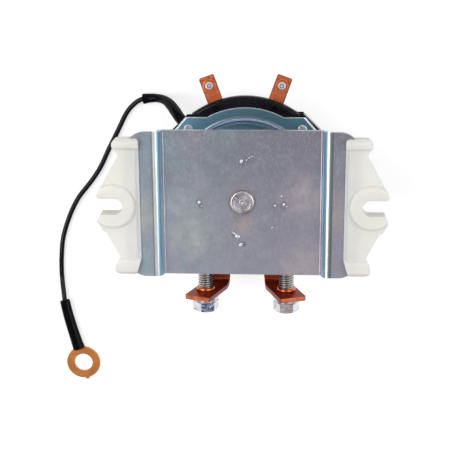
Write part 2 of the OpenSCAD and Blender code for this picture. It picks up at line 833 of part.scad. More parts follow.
// A tubular rivet: a domed head under the lug and a rolled end on the can's flange
module ear_rivet() {
    roll_x = rivet_tail_r - rivet_roll_r;
    difference() {
        union() {
            translate([0, 0, z_rim]) cylinder(r = rivet_r, h = z_flange_top - z_rim + tiny);
            translate([0, 0, z_rim - rivet_head_h])
                cylinder(r1 = rivet_head_r - rivet_head_round, r2 = rivet_head_r, h = rivet_head_round);
            translate([0, 0, z_rim - rivet_head_h + rivet_head_round])
                cylinder(r = rivet_head_r, h = rivet_head_h - rivet_head_round);
            translate([0, 0, z_flange_top]) rotate_extrude() union() {
                square([roll_x, rivet_tail_h]);
                square([rivet_tail_r, rivet_tail_h - rivet_roll_r]);
                translate([roll_x, rivet_tail_h - rivet_roll_r]) circle(rivet_roll_r, $fn = 32);
            }
        }
        translate([0, 0, z_flange_top + rivet_tail_h - rivet_dimple_h])
            cylinder(r1 = rivet_dimple_r / 2, r2 = rivet_dimple_r, h = rivet_dimple_h + tiny, $fn = 32);
    }
}

module placed_ear_rivet(n) {
    color("#c9ccd0") rotate(45 + 90 * (n - 1)) translate([ear_rivet_r, 0, 0]) ear_rivet();
}

module placed_cover_screw(n) {
    color("#a9adb3") rotate(90 * (n - 1)) translate([screw_ring, 0, head_sunk]) difference() {
        union() {
            cylinder(r = screw_head_r, h = screw_head_h);
            cylinder(r = screw_r, h = screw_length);
        }
        for (a = [0, 90]) rotate(a) cube(cross_slot, center = true);
    }
}

// Main terminals

module tab_plan() {
    foot = z_part;
    centre = [bolt_x, bolt_z];
    lean = [sin(tab_lean), cos(tab_lean)];
    across = [cos(tab_lean), -sin(tab_lean)];
    inner_low = centre - tab_low_inner * lean - bar_w / 2 * across;
    outer_low = centre - tab_low_outer * lean + bar_w / 2 * across;
    inner_corner = centre + (bolt_end - tab_corner_r) * lean - (bar_w / 2 - tab_corner_r) * across;
    outer_corner = centre + (bolt_end - tab_corner_r) * lean + (bar_w / 2 - tab_corner_r) * across;
    polygon(concat([[bar_gap, foot - over], inner_low],
        arc(inner_corner, tab_corner_r, 180 - tab_lean, 90 - tab_lean, 6),
        arc(outer_corner, tab_corner_r, 90 - tab_lean, -tab_lean, 6),
        [outer_low, [bar_gap + bar_w, foot - over]]));
}

module bar_section() {
    far = -bar_reach;
    union() {
        translate([far + bar_bend_r, z_part]) square([bar_reach - bar_bend_r + bar_end_y, bar_t]);
        translate([far - bar_t, z_bar_top + bar_bend_r]) square([bar_t, bolt_rise + bolt_end + bar_w]);
        translate([far + bar_bend_r, z_bar_top + bar_bend_r]) intersection() {
            difference() {
                circle(bar_bend_r + bar_t);
                circle(bar_bend_r);
            }
            translate([-bar_bend_r - bar_t, -bar_bend_r - bar_t]) square(bar_bend_r + bar_t);
        }
    }
}

module right_bar_solid() {
    tab_from = bar_reach - bar_bend_r;
    difference() {
        union() {
            intersection() {
                rotate([90, 0, 90]) linear_extrude(2 * bolt_x) bar_section();
                union() {
                    translate([bar_gap, -tab_from, z_part - over])
                        cube([bar_w, tab_from + 2 * bar_end_y, 2 * bar_t]);
                    translate([0, -tab_from, 0]) rotate([90, 0, 0])
                        linear_extrude(2 * bar_bend_r + 2 * bar_t) tab_plan();
                }
            }
            translate([bolt_x, -bar_reach, bolt_z]) rotate([-90, 0, 0]) rotate_extrude() union() {
                translate([0, -tiny]) square([collar_r, collar_h + tiny]);
                translate([collar_r, collar_h - collar_lip_r]) circle(collar_lip_r, $fn = 32);
            }
        }
        translate([bolt_x, -bar_reach - 2 * bar_t, bolt_z]) rotate([-90, 0, 0])
            cylinder(r = bolt_d / 2 + thread_gap, h = 3 * bar_t + 2 * collar_h);
    }
}

module left_bar() {
    color("#a04a26") mirror([1, 0, 0]) right_bar_solid();
}

module right_bar() {
    color("#a04a26") right_bar_solid();
}

module contact_tip(side) {
    color("#d5d6d2") translate([side * tip_x, 0, z_part - tip_button_t])
        cylinder(r = tip_button_r, h = tip_button_t);
}

// The bolt's axis is -Y, with its seat under the spring washer
module at_bolt(side) {
    translate([side * bolt_x, -bar_reach - bar_t, bolt_z]) rotate([90, 0, 0]) children();
}

module hex_bolt(turn) {
    corner_r = bolt_flats / 2 / cos(30);
    seat = plain_t + spring_t;
    straight = bolt_head_h - bolt_head_bevel;
    tip = seat - bolt_length;
    shank_r = bolt_d / 2;
    union() {
        translate([0, 0, seat]) intersection() {
            rotate(turn) cylinder(r = corner_r, h = bolt_head_h, $fn = 6);
            union() {
                cylinder(r = corner_r + tiny, h = straight);
                translate([0, 0, straight - tiny])
                    cylinder(r1 = corner_r, r2 = corner_r - bolt_head_cut, h = bolt_head_bevel + tiny);
            }
        }
        translate([0, 0, tip + bolt_point]) cylinder(r = shank_r, h = bolt_length - bolt_point + tiny);
        translate([0, 0, tip]) cylinder(r1 = shank_r - bolt_point, r2 = shank_r, h = bolt_point + tiny);
    }
}

module left_bolt() {
    color("#c3c6ca") at_bolt(-1) hex_bolt(bolt_turn[0]);
}

module right_bolt() {
    color("#c3c6ca") at_bolt(1) hex_bolt(bolt_turn[1]);
}

module spring_washer(side) {
    color("#b5b8bd") at_bolt(side) difference() {
        ring_solid(spring_r, bolt_d / 2 + washer_gap, plain_t, spring_t);
        translate([0, 0, plain_t + spring_t / 2]) rotate(side > 0 ? 180 : 0) rotate([split_lean, 0, 0])
            translate([0, -spring_split / 2, -2 * spring_t])
                cube([2 * spring_r, spring_split, 4 * spring_t]);
    }
}

module plain_washer(side) {
    color("#c3c6ca") at_bolt(side) ring_solid(plain_r, bolt_d / 2 + washer_gap, 0, plain_t);
}

// Signal terminals

module signal_tab_solid() {
    whole = signal_reach - signal_inner;
    rotate(-signal_angle) difference() {
        union() {
            translate([0, signal_inner, signal_top - signal_t]) linear_extrude(signal_t) union() {
                translate([-signal_w / 2, 0]) square([signal_w, whole - signal_corner_r]);
                translate([0, whole / 2]) rounded_plate(signal_w, whole, signal_corner_r);
            }
            translate([0, signal_screw_r, signal_top - tiny])
                cylinder(r = signal_collar_r, h = signal_collar_h);
        }
        translate([0, signal_screw_r, 0]) cylinder(r = signal_d / 2, h = 2 * z_base_top);
    }
}

module left_signal_tab() {
    color("#c0602f") mirror([1, 0, 0]) signal_tab_solid();
}

module right_signal_tab() {
    color("#c0602f") signal_tab_solid();
}

module at_signal(side) {
    rotate(-side * signal_angle) translate([0, signal_screw_r, signal_top]) children();
}

module signal_screw(side) {
    under = signal_t + signal_washer_t;
    shank_r = signal_d / 2 - thread_gap;
    head = -under - signal_head_h;
    shoulder = signal_tip_h - signal_tip_bevel;
    color("#c9ccd0") at_signal(side) difference() {
        union() {
            translate([0, 0, -under]) cylinder(r = shank_r, h = under + shoulder);
            translate([0, 0, shoulder - tiny])
                cylinder(r1 = shank_r, r2 = shank_r - signal_tip_bevel, h = signal_tip_bevel + tiny);
            translate([0, 0, head])
                cylinder(r1 = signal_head_r - signal_head_bevel, r2 = signal_head_r, h = signal_head_bevel);
            translate([0, 0, head + signal_head_bevel])
                cylinder(r = signal_head_r, h = signal_head_h - signal_head_bevel);
        }
        for (a = [0, 90]) rotate(a) translate([0, 0, head]) cube(signal_cross, center = true);
        translate([0, 0, signal_tip_h - signal_dimple_h])
            cylinder(r1 = signal_dimple_r / 2, r2 = signal_dimple_r, h = signal_dimple_h + tiny, $fn = 32);
    }
}

module screw_washer(side) {
    color("#b5b8bd") at_signal(side) ring_solid(signal_head_r + washer_gap, signal_d / 2 + washer_gap / 2,
        -signal_t - signal_washer_t, signal_washer_t);
}

// Lead

module grommet() {
    color("#17171a") at_grommet() union() {
        translate([0, 0, body_r - grommet_depth]) cylinder(r = grommet_r, h = grommet_depth + grommet_out);
        intersection() {
            translate([0, 0, body_r - grommet_seat])
                cylinder(r = grommet_flange_r, h = grommet_out + grommet_seat);
            difference() {
                cylinder(r = grommet_flange_r + over, h = body_r + 2 * grommet_out);
                rotate([0, -90, 0]) translate([0, 0, -grommet_flange_r - over])
                    cylinder(r = body_r, h = 2 * grommet_flange_r + 2 * over, $fn = 192);
            }
        }
    }
}

module lead_sleeve() {
    color("#141416") swept_tube(sleeve_route, sleeve_d / 2, 12);
}

module lead_wire() {
    color("#141416") swept_tube(lead_route, lead_d / 2, 8);
}

module end_sleeve() {
    color("#141416") swept_tube(end_route, sleeve_d / 2, 12);
}

module ring_terminal() {
    last = end_route[len(end_route) - 1];
    away = [ring_centre[0] - last[0], ring_centre[1] - last[1]];
    turn = atan2(away[1], away[0]);
    tongue = norm(away) + tongue_in;
    color("#b5713a") translate([ring_centre[0], ring_centre[1], ring_z]) rotate(turn) linear_extrude(ring_t)
        difference() {
            union() {
                circle(ring_r);
                translate([-tongue, -tongue_w / 2]) square([tongue - ring_hole_r, tongue_w]);
                translate([ring_r - nub_sunk, 0]) circle(nub_r, $fn = 32);
            }
            circle(ring_hole_r);
        }
}

bracket();
left_foot();
right_foot();
can();
core();
pole_plate();
bobbin();
coil();
plunger();
plunger_rod();
stop_washer();
return_spring();
insulating_bush();
spring_seat();
rod_clip();
contact_disc();
contact_spring();
terminal_base();
flange_gasket();
front_cover();
placed_ear_rivet(1);  // ear_rivet_1
placed_ear_rivet(2);  // ear_rivet_2
placed_ear_rivet(3);  // ear_rivet_3
placed_ear_rivet(4);  // ear_rivet_4
placed_cover_screw(1);  // cover_screw_1
placed_cover_screw(2);  // cover_screw_2
placed_cover_screw(3);  // cover_screw_3
placed_cover_screw(4);  // cover_screw_4
left_bar();
right_bar();
contact_tip(-1);  // left_contact_tip
contact_tip(1);  // right_contact_tip
left_bolt();
right_bolt();
spring_washer(-1);  // left_spring_washer
spring_washer(1);  // right_spring_washer
plain_washer(-1);  // left_plain_washer
plain_washer(1);  // right_plain_washer
left_signal_tab();
right_signal_tab();
signal_screw(-1);  // left_signal_screw
signal_screw(1);  // right_signal_screw
screw_washer(-1);  // left_screw_washer
screw_washer(1);  // right_screw_washer
grommet();
lead_sleeve();
lead_wire();
end_sleeve();
ring_terminal();
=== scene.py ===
import json
import math

import bmesh
import bpy
from mathutils import Matrix, Vector

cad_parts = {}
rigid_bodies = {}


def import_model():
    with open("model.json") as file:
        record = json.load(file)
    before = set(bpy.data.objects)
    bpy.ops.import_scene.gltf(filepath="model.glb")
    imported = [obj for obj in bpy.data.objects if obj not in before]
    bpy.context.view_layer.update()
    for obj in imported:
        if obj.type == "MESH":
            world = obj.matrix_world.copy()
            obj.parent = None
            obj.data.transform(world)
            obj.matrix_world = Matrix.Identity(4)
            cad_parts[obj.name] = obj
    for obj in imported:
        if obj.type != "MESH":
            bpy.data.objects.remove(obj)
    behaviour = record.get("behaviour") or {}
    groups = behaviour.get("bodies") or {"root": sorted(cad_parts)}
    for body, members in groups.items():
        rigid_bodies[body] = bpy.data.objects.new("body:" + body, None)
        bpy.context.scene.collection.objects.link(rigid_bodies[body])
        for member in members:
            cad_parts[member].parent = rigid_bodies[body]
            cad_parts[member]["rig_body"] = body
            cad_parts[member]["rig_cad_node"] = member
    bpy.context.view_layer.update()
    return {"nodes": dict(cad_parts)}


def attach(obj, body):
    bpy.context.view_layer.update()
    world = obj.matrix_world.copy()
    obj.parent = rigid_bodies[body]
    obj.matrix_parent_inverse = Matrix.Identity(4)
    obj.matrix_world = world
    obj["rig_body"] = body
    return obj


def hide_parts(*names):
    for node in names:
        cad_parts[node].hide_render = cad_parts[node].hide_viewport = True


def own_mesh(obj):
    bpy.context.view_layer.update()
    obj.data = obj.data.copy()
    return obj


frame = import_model()
print("frame loaded:", len(frame["nodes"]), "nodes")

# What every piece uses

# angles are in degrees here
meshCare = {
    "weld": 0.000008,
    "flatAngle": 0.6,
    "bevelAngle": 32,
    "shadeAngle": 42,
    "flatWeight": 60,
}


def clearSelection():
    if bpy.context.object and bpy.context.object.mode != "OBJECT":
        bpy.ops.object.mode_set(mode="OBJECT")
    bpy.ops.object.select_all(action="DESELECT")


def pick(piece):
    clearSelection()
    piece.select_set(True)
    bpy.context.view_layer.objects.active = piece


def smooth(piece, angle=35):
    pick(piece)
    bpy.ops.object.shade_smooth_by_angle(angle=math.radians(angle))


def copyNode(nodeName, pieceName):
    # a merged copy of a CAD node's mesh, ready to be rounded
    pick(frame["nodes"][nodeName])
    bpy.ops.object.duplicate()
    piece = bpy.context.object
    piece.name = pieceName
    piece.data.name = pieceName
    bpy.ops.object.parent_clear(type="CLEAR_KEEP_TRANSFORM")
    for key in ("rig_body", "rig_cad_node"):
        if key in piece:
            del piece[key]
    piece.data.materials.clear()
    bpy.ops.mesh.customdata_custom_splitnormals_clear()
    bpy.ops.object.mode_set(mode="EDIT")
    bpy.ops.mesh.select_all(action="SELECT")
    bpy.ops.mesh.remove_doubles(threshold=meshCare["weld"])
    bpy.ops.mesh.dissolve_limited(angle_limit=math.radians(meshCare["flatAngle"]))
    bpy.ops.object.mode_set(mode="OBJECT")
    return piece


def roundEdges(piece, width, segments=2, angle=meshCare["bevelAngle"]):
    pick(piece)
    rounding = piece.modifiers.new("rounding", "BEVEL")
    rounding.width = width
    rounding.segments = segments
    rounding.limit_method = "ANGLE"
    rounding.angle_limit = math.radians(angle)
    rounding.use_clamp_overlap = True
    bpy.ops.object.modifier_apply(modifier=rounding.name)
    smooth(piece, meshCare["shadeAngle"])
    flatness = piece.modifiers.new("flatness", "WEIGHTED_NORMAL")
    flatness.keep_sharp = True
    flatness.weight = meshCare["flatWeight"]
    bpy.ops.object.modifier_apply(modifier=flatness.name)


def roundedNode(nodeName, pieceName, slotName, width, segments=2):
    # a copy of a node with its edges broken, standing for the node
    piece = copyNode(nodeName, pieceName)
    roundEdges(piece, width, segments)
    seat(piece, "relay", slotName, nodeName)
    return piece


def settle(piece):
    # puts the object at the origin with its place in the mesh
    pick(piece)
    bpy.ops.object.transform_apply(location=True, rotation=True, scale=True)


def merge(pieces, name):
    clearSelection()
    for piece in pieces:
        piece.select_set(True)
    bpy.context.view_layer.objects.active = pieces[0]
    bpy.ops.object.join()
    whole = bpy.context.object
    whole.name = name
    whole.data.name = name
    return whole


def seat(piece, body, slotName, *nodes):
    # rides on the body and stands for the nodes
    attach(piece, body)
    if nodes:
        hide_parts(*nodes)


def coat(piece, material):
    piece.data.materials.clear()
    piece.data.materials.append(material)


def coatNode(nodeName, material):
    coat(frame["nodes"][nodeName], material)


def coatFaces(piece, material, test):
    # a further material on the faces that pass the test
    piece.data.materials.append(material)
    number = len(piece.data.materials) - 1
    for face in piece.data.polygons:
        if test(face.center, face.normal):
            face.material_index = number


# Finishes


def startMaterial(name):
    material = bpy.data.materials.new(name)
    material.use_nodes = True
    tree = material.node_tree
    shader = tree.nodes["Principled BSDF"]
    coords = tree.nodes.new("ShaderNodeTexCoord")
    return material, tree, shader, coords


def openMaterial(material):
    tree = material.node_tree
    coords = next(node for node in tree.nodes if node.type == "TEX_COORD")
    return tree, tree.nodes["Principled BSDF"], coords


def stretched(tree, coords, stretch, turn=(0, 0, 0)):
    mapping = tree.nodes.new("ShaderNodeMapping")
    mapping.inputs["Scale"].default_value = stretch
    mapping.inputs["Rotation"].default_value = turn
    tree.links.new(coords.outputs["Object"], mapping.inputs["Vector"])
    return mapping.outputs["Vector"]


def noise(tree, vector, scale, detail=4, roughness=0.55, distortion=0.0):
    node = tree.nodes.new("ShaderNodeTexNoise")
    node.inputs["Scale"].default_value = scale
    node.inputs["Detail"].default_value = detail
    node.inputs["Roughness"].default_value = roughness
    node.inputs["Distortion"].default_value = distortion
    tree.links.new(vector, node.inputs["Vector"])
    return node.outputs["Fac"]


def ramp(tree, value, stops):
    node = tree.nodes.new("ShaderNodeValToRGB")
    elements = node.color_ramp.elements
    while len(elements) < len(stops):
        elements.new(0.5)
    for element, (place, colour) in zip(elements, stops):
        element.position = place
        element.color = (*colour, 1)
    tree.links.new(value, node.inputs["Fac"])
    return node.outputs["Color"]


def mixed(tree, factor, a, b, kind="MIX"):
    node = tree.nodes.new("ShaderNodeMix")
    node.data_type = "RGBA"
    node.blend_type = kind
    if isinstance(factor, (int, float)):
        node.inputs[0].default_value = factor
    else:
        tree.links.new(factor, node.inputs[0])
    for socket, value in ((node.inputs[6], a), (node.inputs[7], b)):
        if isinstance(value, tuple):
            socket.default_value = (*value, 1)
        else:
            tree.links.new(value, socket)
    return node.outputs[2]


def ranged(tree, value, low, high, fromLow=0.3, fromHigh=0.7):
    node = tree.nodes.new("ShaderNodeMapRange")
    node.inputs["From Min"].default_value = fromLow
    node.inputs["From Max"].default_value = fromHigh
    node.inputs["To Min"].default_value = low
    node.inputs["To Max"].default_value = high
    tree.links.new(value, node.inputs["Value"])
    return node.outputs["Result"]


def spot(tree, coords, place, reach):
    # one at the place, fading to nothing at the reach
    node = tree.nodes.new("ShaderNodeVectorMath")
    node.operation = "DISTANCE"
    node.inputs[1].default_value = place
    tree.links.new(coords.outputs["Object"], node.inputs[0])
    return ranged(tree, node.outputs["Value"], 1, 0, 0, reach)


def pulse(tree, value, low, high, stops):
    # how strong a band is along a value, from its stops between low and high
    across = ranged(tree, value, 0, 1, low, high)
    return ramp(tree, across, [(place, (depth, depth, depth)) for place, depth in stops])


def times(tree, a, b):
    node = tree.nodes.new("ShaderNodeMath")
    node.operation = "MULTIPLY"
    for socket, value in ((node.inputs[0], a), (node.inputs[1], b)):
        if isinstance(value, (int, float)):
            socket.default_value = value
        else:
            tree.links.new(value, socket)
    return node.outputs[0]


def absolute(tree, value):
    node = tree.nodes.new("ShaderNodeMath")
    node.operation = "ABSOLUTE"
    tree.links.new(value, node.inputs[0])
    return node.outputs[0]


def split(tree, vector):
    # a vector's three numbers, each by its name
    node = tree.nodes.new("ShaderNodeSeparateXYZ")
    tree.links.new(vector, node.inputs["Vector"])
    return node.outputs


def bumped(tree, shader, height, strength, distance):
    node = tree.nodes.new("ShaderNodeBump")
    node.inputs["Strength"].default_value = strength
    node.inputs["Distance"].default_value = distance
    tree.links.new(height, node.inputs["Height"])
    tree.links.new(node.outputs["Normal"], shader.inputs["Normal"])


# what a finish has unless its own look says otherwise
plainLook = {
    "stretch": (1, 1, 1), "patchLow": 0.35, "patchHigh": 0.65, "patchDetail": 5, "grainDetail": 3,
    "speck": None, "speckScale": 700, "speckDetail": 2,
    "speckEdge": 0.68, "speckFade": 0.06, "speckDepth": 0.6,
    "metal": 0.0, "specular": 0.5, "ior": 1.5, "bumpDepth": 0.0001,
    "soak": 0, "soakDepth": 0.003, "soakRadius": (1.0, 0.9, 0.75),
}


def finish(name, ownLook):
    # one material: two tones in soft patches, a fine grain and uneven gloss
    look = {**plainLook, **ownLook}
    material, tree, shader, coords = startMaterial(name)
    patches = noise(tree, stretched(tree, coords, look["stretch"]), look["patchScale"], look["patchDetail"])
    tones = ramp(tree, patches, [(look["patchLow"], look["tone"]), (look["patchHigh"], look["second"])])
    grain = noise(tree, coords.outputs["Object"], look["grainScale"], look["grainDetail"])
    if look["speck"]:
        spots = noise(tree, coords.outputs["Object"], look["speckScale"], look["speckDetail"])
        edge = look["speckEdge"]
        mask = ranged(tree, spots, 0, look["speckDepth"], edge, edge + look["speckFade"])
        tones = mixed(tree, mask, tones, look["speck"])
    tree.links.new(tones, shader.inputs["Base Color"])
    gloss = mixed(tree, 0.5, patches, grain)
    tree.links.new(ranged(tree, gloss, *look["rough"]), shader.inputs["Roughness"])
    shader.inputs["Metallic"].default_value = look["metal"]
    shader.inputs["Specular IOR Level"].default_value = look["specular"]
    shader.inputs["IOR"].default_value = look["ior"]
    if look["soak"]:
        shader.inputs["Subsurface Weight"].default_value = look["soak"]
        shader.inputs["Subsurface Radius"].default_value = look["soakRadius"]
        shader.inputs["Subsurface Scale"].default_value = look["soakDepth"]
    bumped(tree, shader, grain, look["bump"], look["bumpDepth"])
    return material


# Camera, where the photograph was taken from

cameraView = {
    "place": (0.022583, 0.127425, 0.556809),
    "looksAlong": (-0.06137707, -0.27563736, -0.95930022),
    "roll": -0.00793037,
    "lens": 83.698,
    "sensor": 36,
    "near": 0.01,
    "far": 20,
}


def addCamera(view):
    bpy.ops.object.camera_add(location=view["place"])
    camera = bpy.context.object
    camera.name = "photoCamera"
    forward = Vector(view["looksAlong"]).normalized()
    side = forward.cross(Vector((0, 1, 0))).normalized()
    up = side.cross(forward)
    straight, across = math.cos(view["roll"]), math.sin(view["roll"])
    turnedSide = side * straight + up * across
    turnedUp = up * straight - side * across
    axes = Matrix((turnedSide, turnedUp, -forward)).transposed()
    camera.rotation_euler = axes.to_euler()
    camera.data.sensor_width = view["sensor"]
    camera.data.lens = view["lens"]
    camera.data.clip_start = view["near"]
    camera.data.clip_end = view["far"]
    bpy.context.scene.camera = camera


addCamera(cameraView)
print("camera placed")

# The earth lead: wire, two shrink sleeves and the ring at its end

lead = {
    "diameter": 0.0027,
    "length": 0.1999,
    "firstSleeve": [
        (-0.0288, 0.0254, 0.0218), (-0.0319, 0.0281, 0.0218), (-0.0348, 0.0308, 0.0197),
        (-0.0376, 0.0337, 0.0158), (-0.0406, 0.0364, 0.0115), (-0.0440, 0.0382, 0.0076),
        (-0.0479, 0.0388, 0.0047), (-0.0521, 0.0387, 0.0033), (-0.0561, 0.0382, 0.0029),
    ],
    "bare": [
        (-0.0590, 0.0370, 0.0025), (-0.0617, 0.0349, 0.0020), (-0.0644, 0.0321, 0.0016),
        (-0.0666, 0.0288, 0.0015), (-0.0685, 0.0251, 0.0015), (-0.0721, 0.0180, 0.0015),
        (-0.0763, 0.0100, 0.0015), (-0.0810, 0.0005, 0.0015), (-0.0850, -0.0056, 0.0015),
        (-0.0898, -0.0117, 0.0015), (-0.0931, -0.0157, 0.0015), (-0.0959, -0.0201, 0.0015),
        (-0.0983, -0.0248, 0.0015), (-0.1005, -0.0300, 0.0015), (-0.1025, -0.0356, 0.0015),
        (-0.1041, -0.0415, 0.0015), (-0.1052, -0.0500, 0.0015), (-0.1057, -0.0584, 0.0015),
        (-0.1055, -0.0669, 0.0018), (-0.1050, -0.0719, 0.0025),
    ],
    "lastSleeve": [
        (-0.1045, -0.0774, 0.0029), (-0.1032, -0.0846, 0.0029), (-0.1014, -0.0924, 0.0029),
        (-0.0995, -0.0997, 0.0029), (-0.0977, -0.1065, 0.0029),
    ],
    "sleeveRadius": 0.00275,
    "sleeveWall": 0.0005,
    # width at each point, as a share of the sleeve's own
    "firstSwell": [0.98, 1.04, 1.08, 1.1, 1.04, 0.9, 0.84, 0.9, 1.04],
    "lastSwell": [1.06, 1.1, 1.13, 1.17, 1.26],
    "lastFlat": 0.8,
    "steps": 8,
    "roundness": 6,
    "shadeAngle": 50,
    "ringRounding": 0.0002,
}


def addRoute(name, points, settings, radius, swell=None):
    # a smooth curve through the points, as thick as asked at each of them
    bpy.ops.curve.primitive_bezier_curve_add(location=(0, 0, 0))
    route = bpy.context.object
    route.name = name
    spline = route.data.splines[0]
    spline.bezier_points.add(len(points) - 2)
    for i, (knot, place) in enumerate(zip(spline.bezier_points, points)):
        knot.co = place
        knot.radius = swell[i] if swell else 1
        knot.handle_left_type = "AUTO"
        knot.handle_right_type = "AUTO"
    route.data.dimensions = "3D"
    route.data.resolution_u = settings["steps"]
    route.data.bevel_depth = radius
    route.data.bevel_resolution = settings["roundness"]
    return route


def addSleeve(name, points, settings, swell):
    clearSelection()
    sleeve = addRoute(name, points, settings, settings["sleeveRadius"], swell)
    pick(sleeve)
    bpy.ops.object.convert(target="MESH")
    wall = sleeve.modifiers.new("wall", "SOLIDIFY")
    wall.thickness = settings["sleeveWall"]
    wall.offset = -1
    bpy.ops.object.modifier_apply(modifier=wall.name)
    smooth(sleeve, settings["shadeAngle"])
    return sleeve


clearSelection()
wholeRoute = lead["firstSleeve"] + lead["bare"] + lead["lastSleeve"]
leadWire = addRoute("leadWire", wholeRoute, lead, lead["diameter"] / 2)
leadWire.data.use_fill_caps = True
firstSleeve = addSleeve("firstSleeve", lead["firstSleeve"], lead, lead["firstSwell"])
lastSleeve = addSleeve("lastSleeve", lead["lastSleeve"], lead, lead["lastSwell"])
# shrunk over the ring's flat tongue, so it is wider than it is high
pick(lastSleeve)
bpy.ops.object.mode_set(mode="EDIT")
bpy.ops.mesh.select_all(action="SELECT")
bpy.ops.transform.resize(value=(1, 1, lead["lastFlat"]), center_override=(0, 0, lead["lastSleeve"][0][2]))
bpy.ops.object.mode_set(mode="OBJECT")
rubberBlack = finish("leadRubber", {
    "tone": (0.003, 0.003, 0.0035), "second": (0.006, 0.0055, 0.007), "patchScale": 160,
    "rough": (0.05, 0.10), "grainScale": 1500, "bump": 0.02, "ior": 1.3,
})
shrinkBlack = finish("shrinkTube", {
    "tone": (0.002, 0.0018, 0.0024), "second": (0.004, 0.0035, 0.005), "patchScale": 220,
    "rough": (0.04, 0.10), "grainScale": 420, "bump": 0.02, "bumpDepth": 0.0002, "ior": 1.18,
})
for piece, node, material in (
    (leadWire, "lead_wire", rubberBlack),
    (firstSleeve, "lead_sleeve", shrinkBlack),
    (lastSleeve, "end_sleeve", shrinkBlack),
):
    coat(piece, material)
    seat(piece, "relay", "black_sleeving", node)
ringTerminal = roundedNode("ring_terminal", "ringTerminal", "bronze_ring", lead["ringRounding"])
print("lead laid")

# Floor, backdrop and lamps

studio = {
    "floorSize": 6.0,
    "floorTone": (0.68, 0.68, 0.69),
    "floorRough": 0.9,
    "floorShine": 0.1,
    "floorGlow": 0.58,
    "skyLevel": 0.42,
    "horizon": (1, 1, 1),
    "midSky": (0.92, 0.92, 0.94),
    "zenith": (0.76, 0.77, 0.80),
    "endsShade": 0.30,
    "endsSpan": (0.2, 0.9),
    "leftPlace": (-0.62, 0.12, 0.79),
    "leftPower": 5.2,
    "rightPlace": (0.63, 0.05, 0.76),
    "rightPower": 4.0,
    "sideSize": (0.8, 0.8),
    "backPlace": (0.05, 0.85, 0.42),
    "backPower": 1.3,
    "backSize": (1.1, 0.07),
    "sparkPlace": (-0.45, -0.26, 0.75),
    "sparkPower": 0.35,
    "sparkSize": (0.07, 0.07),
    "aim": (0, 0, 0.04),
}


def addFloor(settings):
    bpy.ops.mesh.primitive_plane_add(size=settings["floorSize"], location=(0, 0, 0))
    floor = bpy.context.object
    floor.name = "floor"
    material = bpy.data.materials.new("palePaper")
    material.use_nodes = True
    tree = material.node_tree
    shader = tree.nodes["Principled BSDF"]
    shader.inputs["Base Color"].default_value = (*settings["floorTone"], 1)
    shader.inputs["Roughness"].default_value = settings["floorRough"]
    shader.inputs["Specular IOR Level"].default_value = settings["floorShine"]
    shader.inputs["Emission Color"].default_value = (1, 1, 1, 1)
    path = tree.nodes.new("ShaderNodeLightPath")
    seen = tree.nodes.new("ShaderNodeMath")
    seen.operation = "MAXIMUM"
    tree.links.new(path.outputs["Is Camera Ray"], seen.inputs[0])
    tree.links.new(path.outputs["Is Glossy Ray"], seen.inputs[1])
    glow = times(tree, seen.outputs[0], settings["floorGlow"])
    tree.links.new(glow, shader.inputs["Emission Strength"])
    floor.data.materials.append(material)


def addLamp(name, settings, kind, size):
    place = settings[kind + "Place"]
    bpy.ops.object.light_add(type="AREA", location=place)
    lamp = bpy.context.object
    lamp.name = name
    lamp.data.energy = settings[kind + "Power"]
    lamp.data.shape = "RECTANGLE"
    lamp.data.size, lamp.data.size_y = size
    lamp.rotation_euler = (Vector(settings["aim"]) - Vector(place)).to_track_quat("-Z", "Y").to_euler()


def addSky(settings):
    world = bpy.data.worlds.new("studioSky")
    bpy.context.scene.world = world
    world.use_nodes = True
    tree = world.node_tree
    background = tree.nodes["Background"]
    coords = tree.nodes.new("ShaderNodeTexCoord")
    way = split(tree, coords.outputs["Generated"])
    # paler round the left and right than overhead or at the two ends, as between two softboxes
    heights = [(0.0, settings["horizon"]), (0.45, settings["midSky"]), (0.85, settings["zenith"])]
    overhead = ramp(tree, way["Z"], heights)
    ends = ranged(tree, absolute(tree, way["Y"]), 1, settings["endsShade"], *settings["endsSpan"])
    shades = mixed(tree, 1.0, overhead, ends, "MULTIPLY")
    path = tree.nodes.new("ShaderNodeLightPath")
    tree.links.new(mixed(tree, path.outputs["Is Camera Ray"], shades, (1, 1, 1)), background.inputs["Color"])
    level = ranged(tree, path.outputs["Is Camera Ray"], settings["skyLevel"], 1, 0, 1)
    tree.links.new(level, background.inputs["Strength"])


addFloor(studio)
addLamp("leftLamp", studio, "left", studio["sideSize"])
addLamp("rightLamp", studio, "right", studio["sideSize"])
addLamp("backStrip", studio, "back", studio["backSize"])
addLamp("sparkLamp", studio, "spark", studio["sparkSize"])
addSky(studio)
bpy.context.scene.view_settings.view_transform = "Standard"
print("floor and lamps set")

# Bracket, zinc-plated steel strip

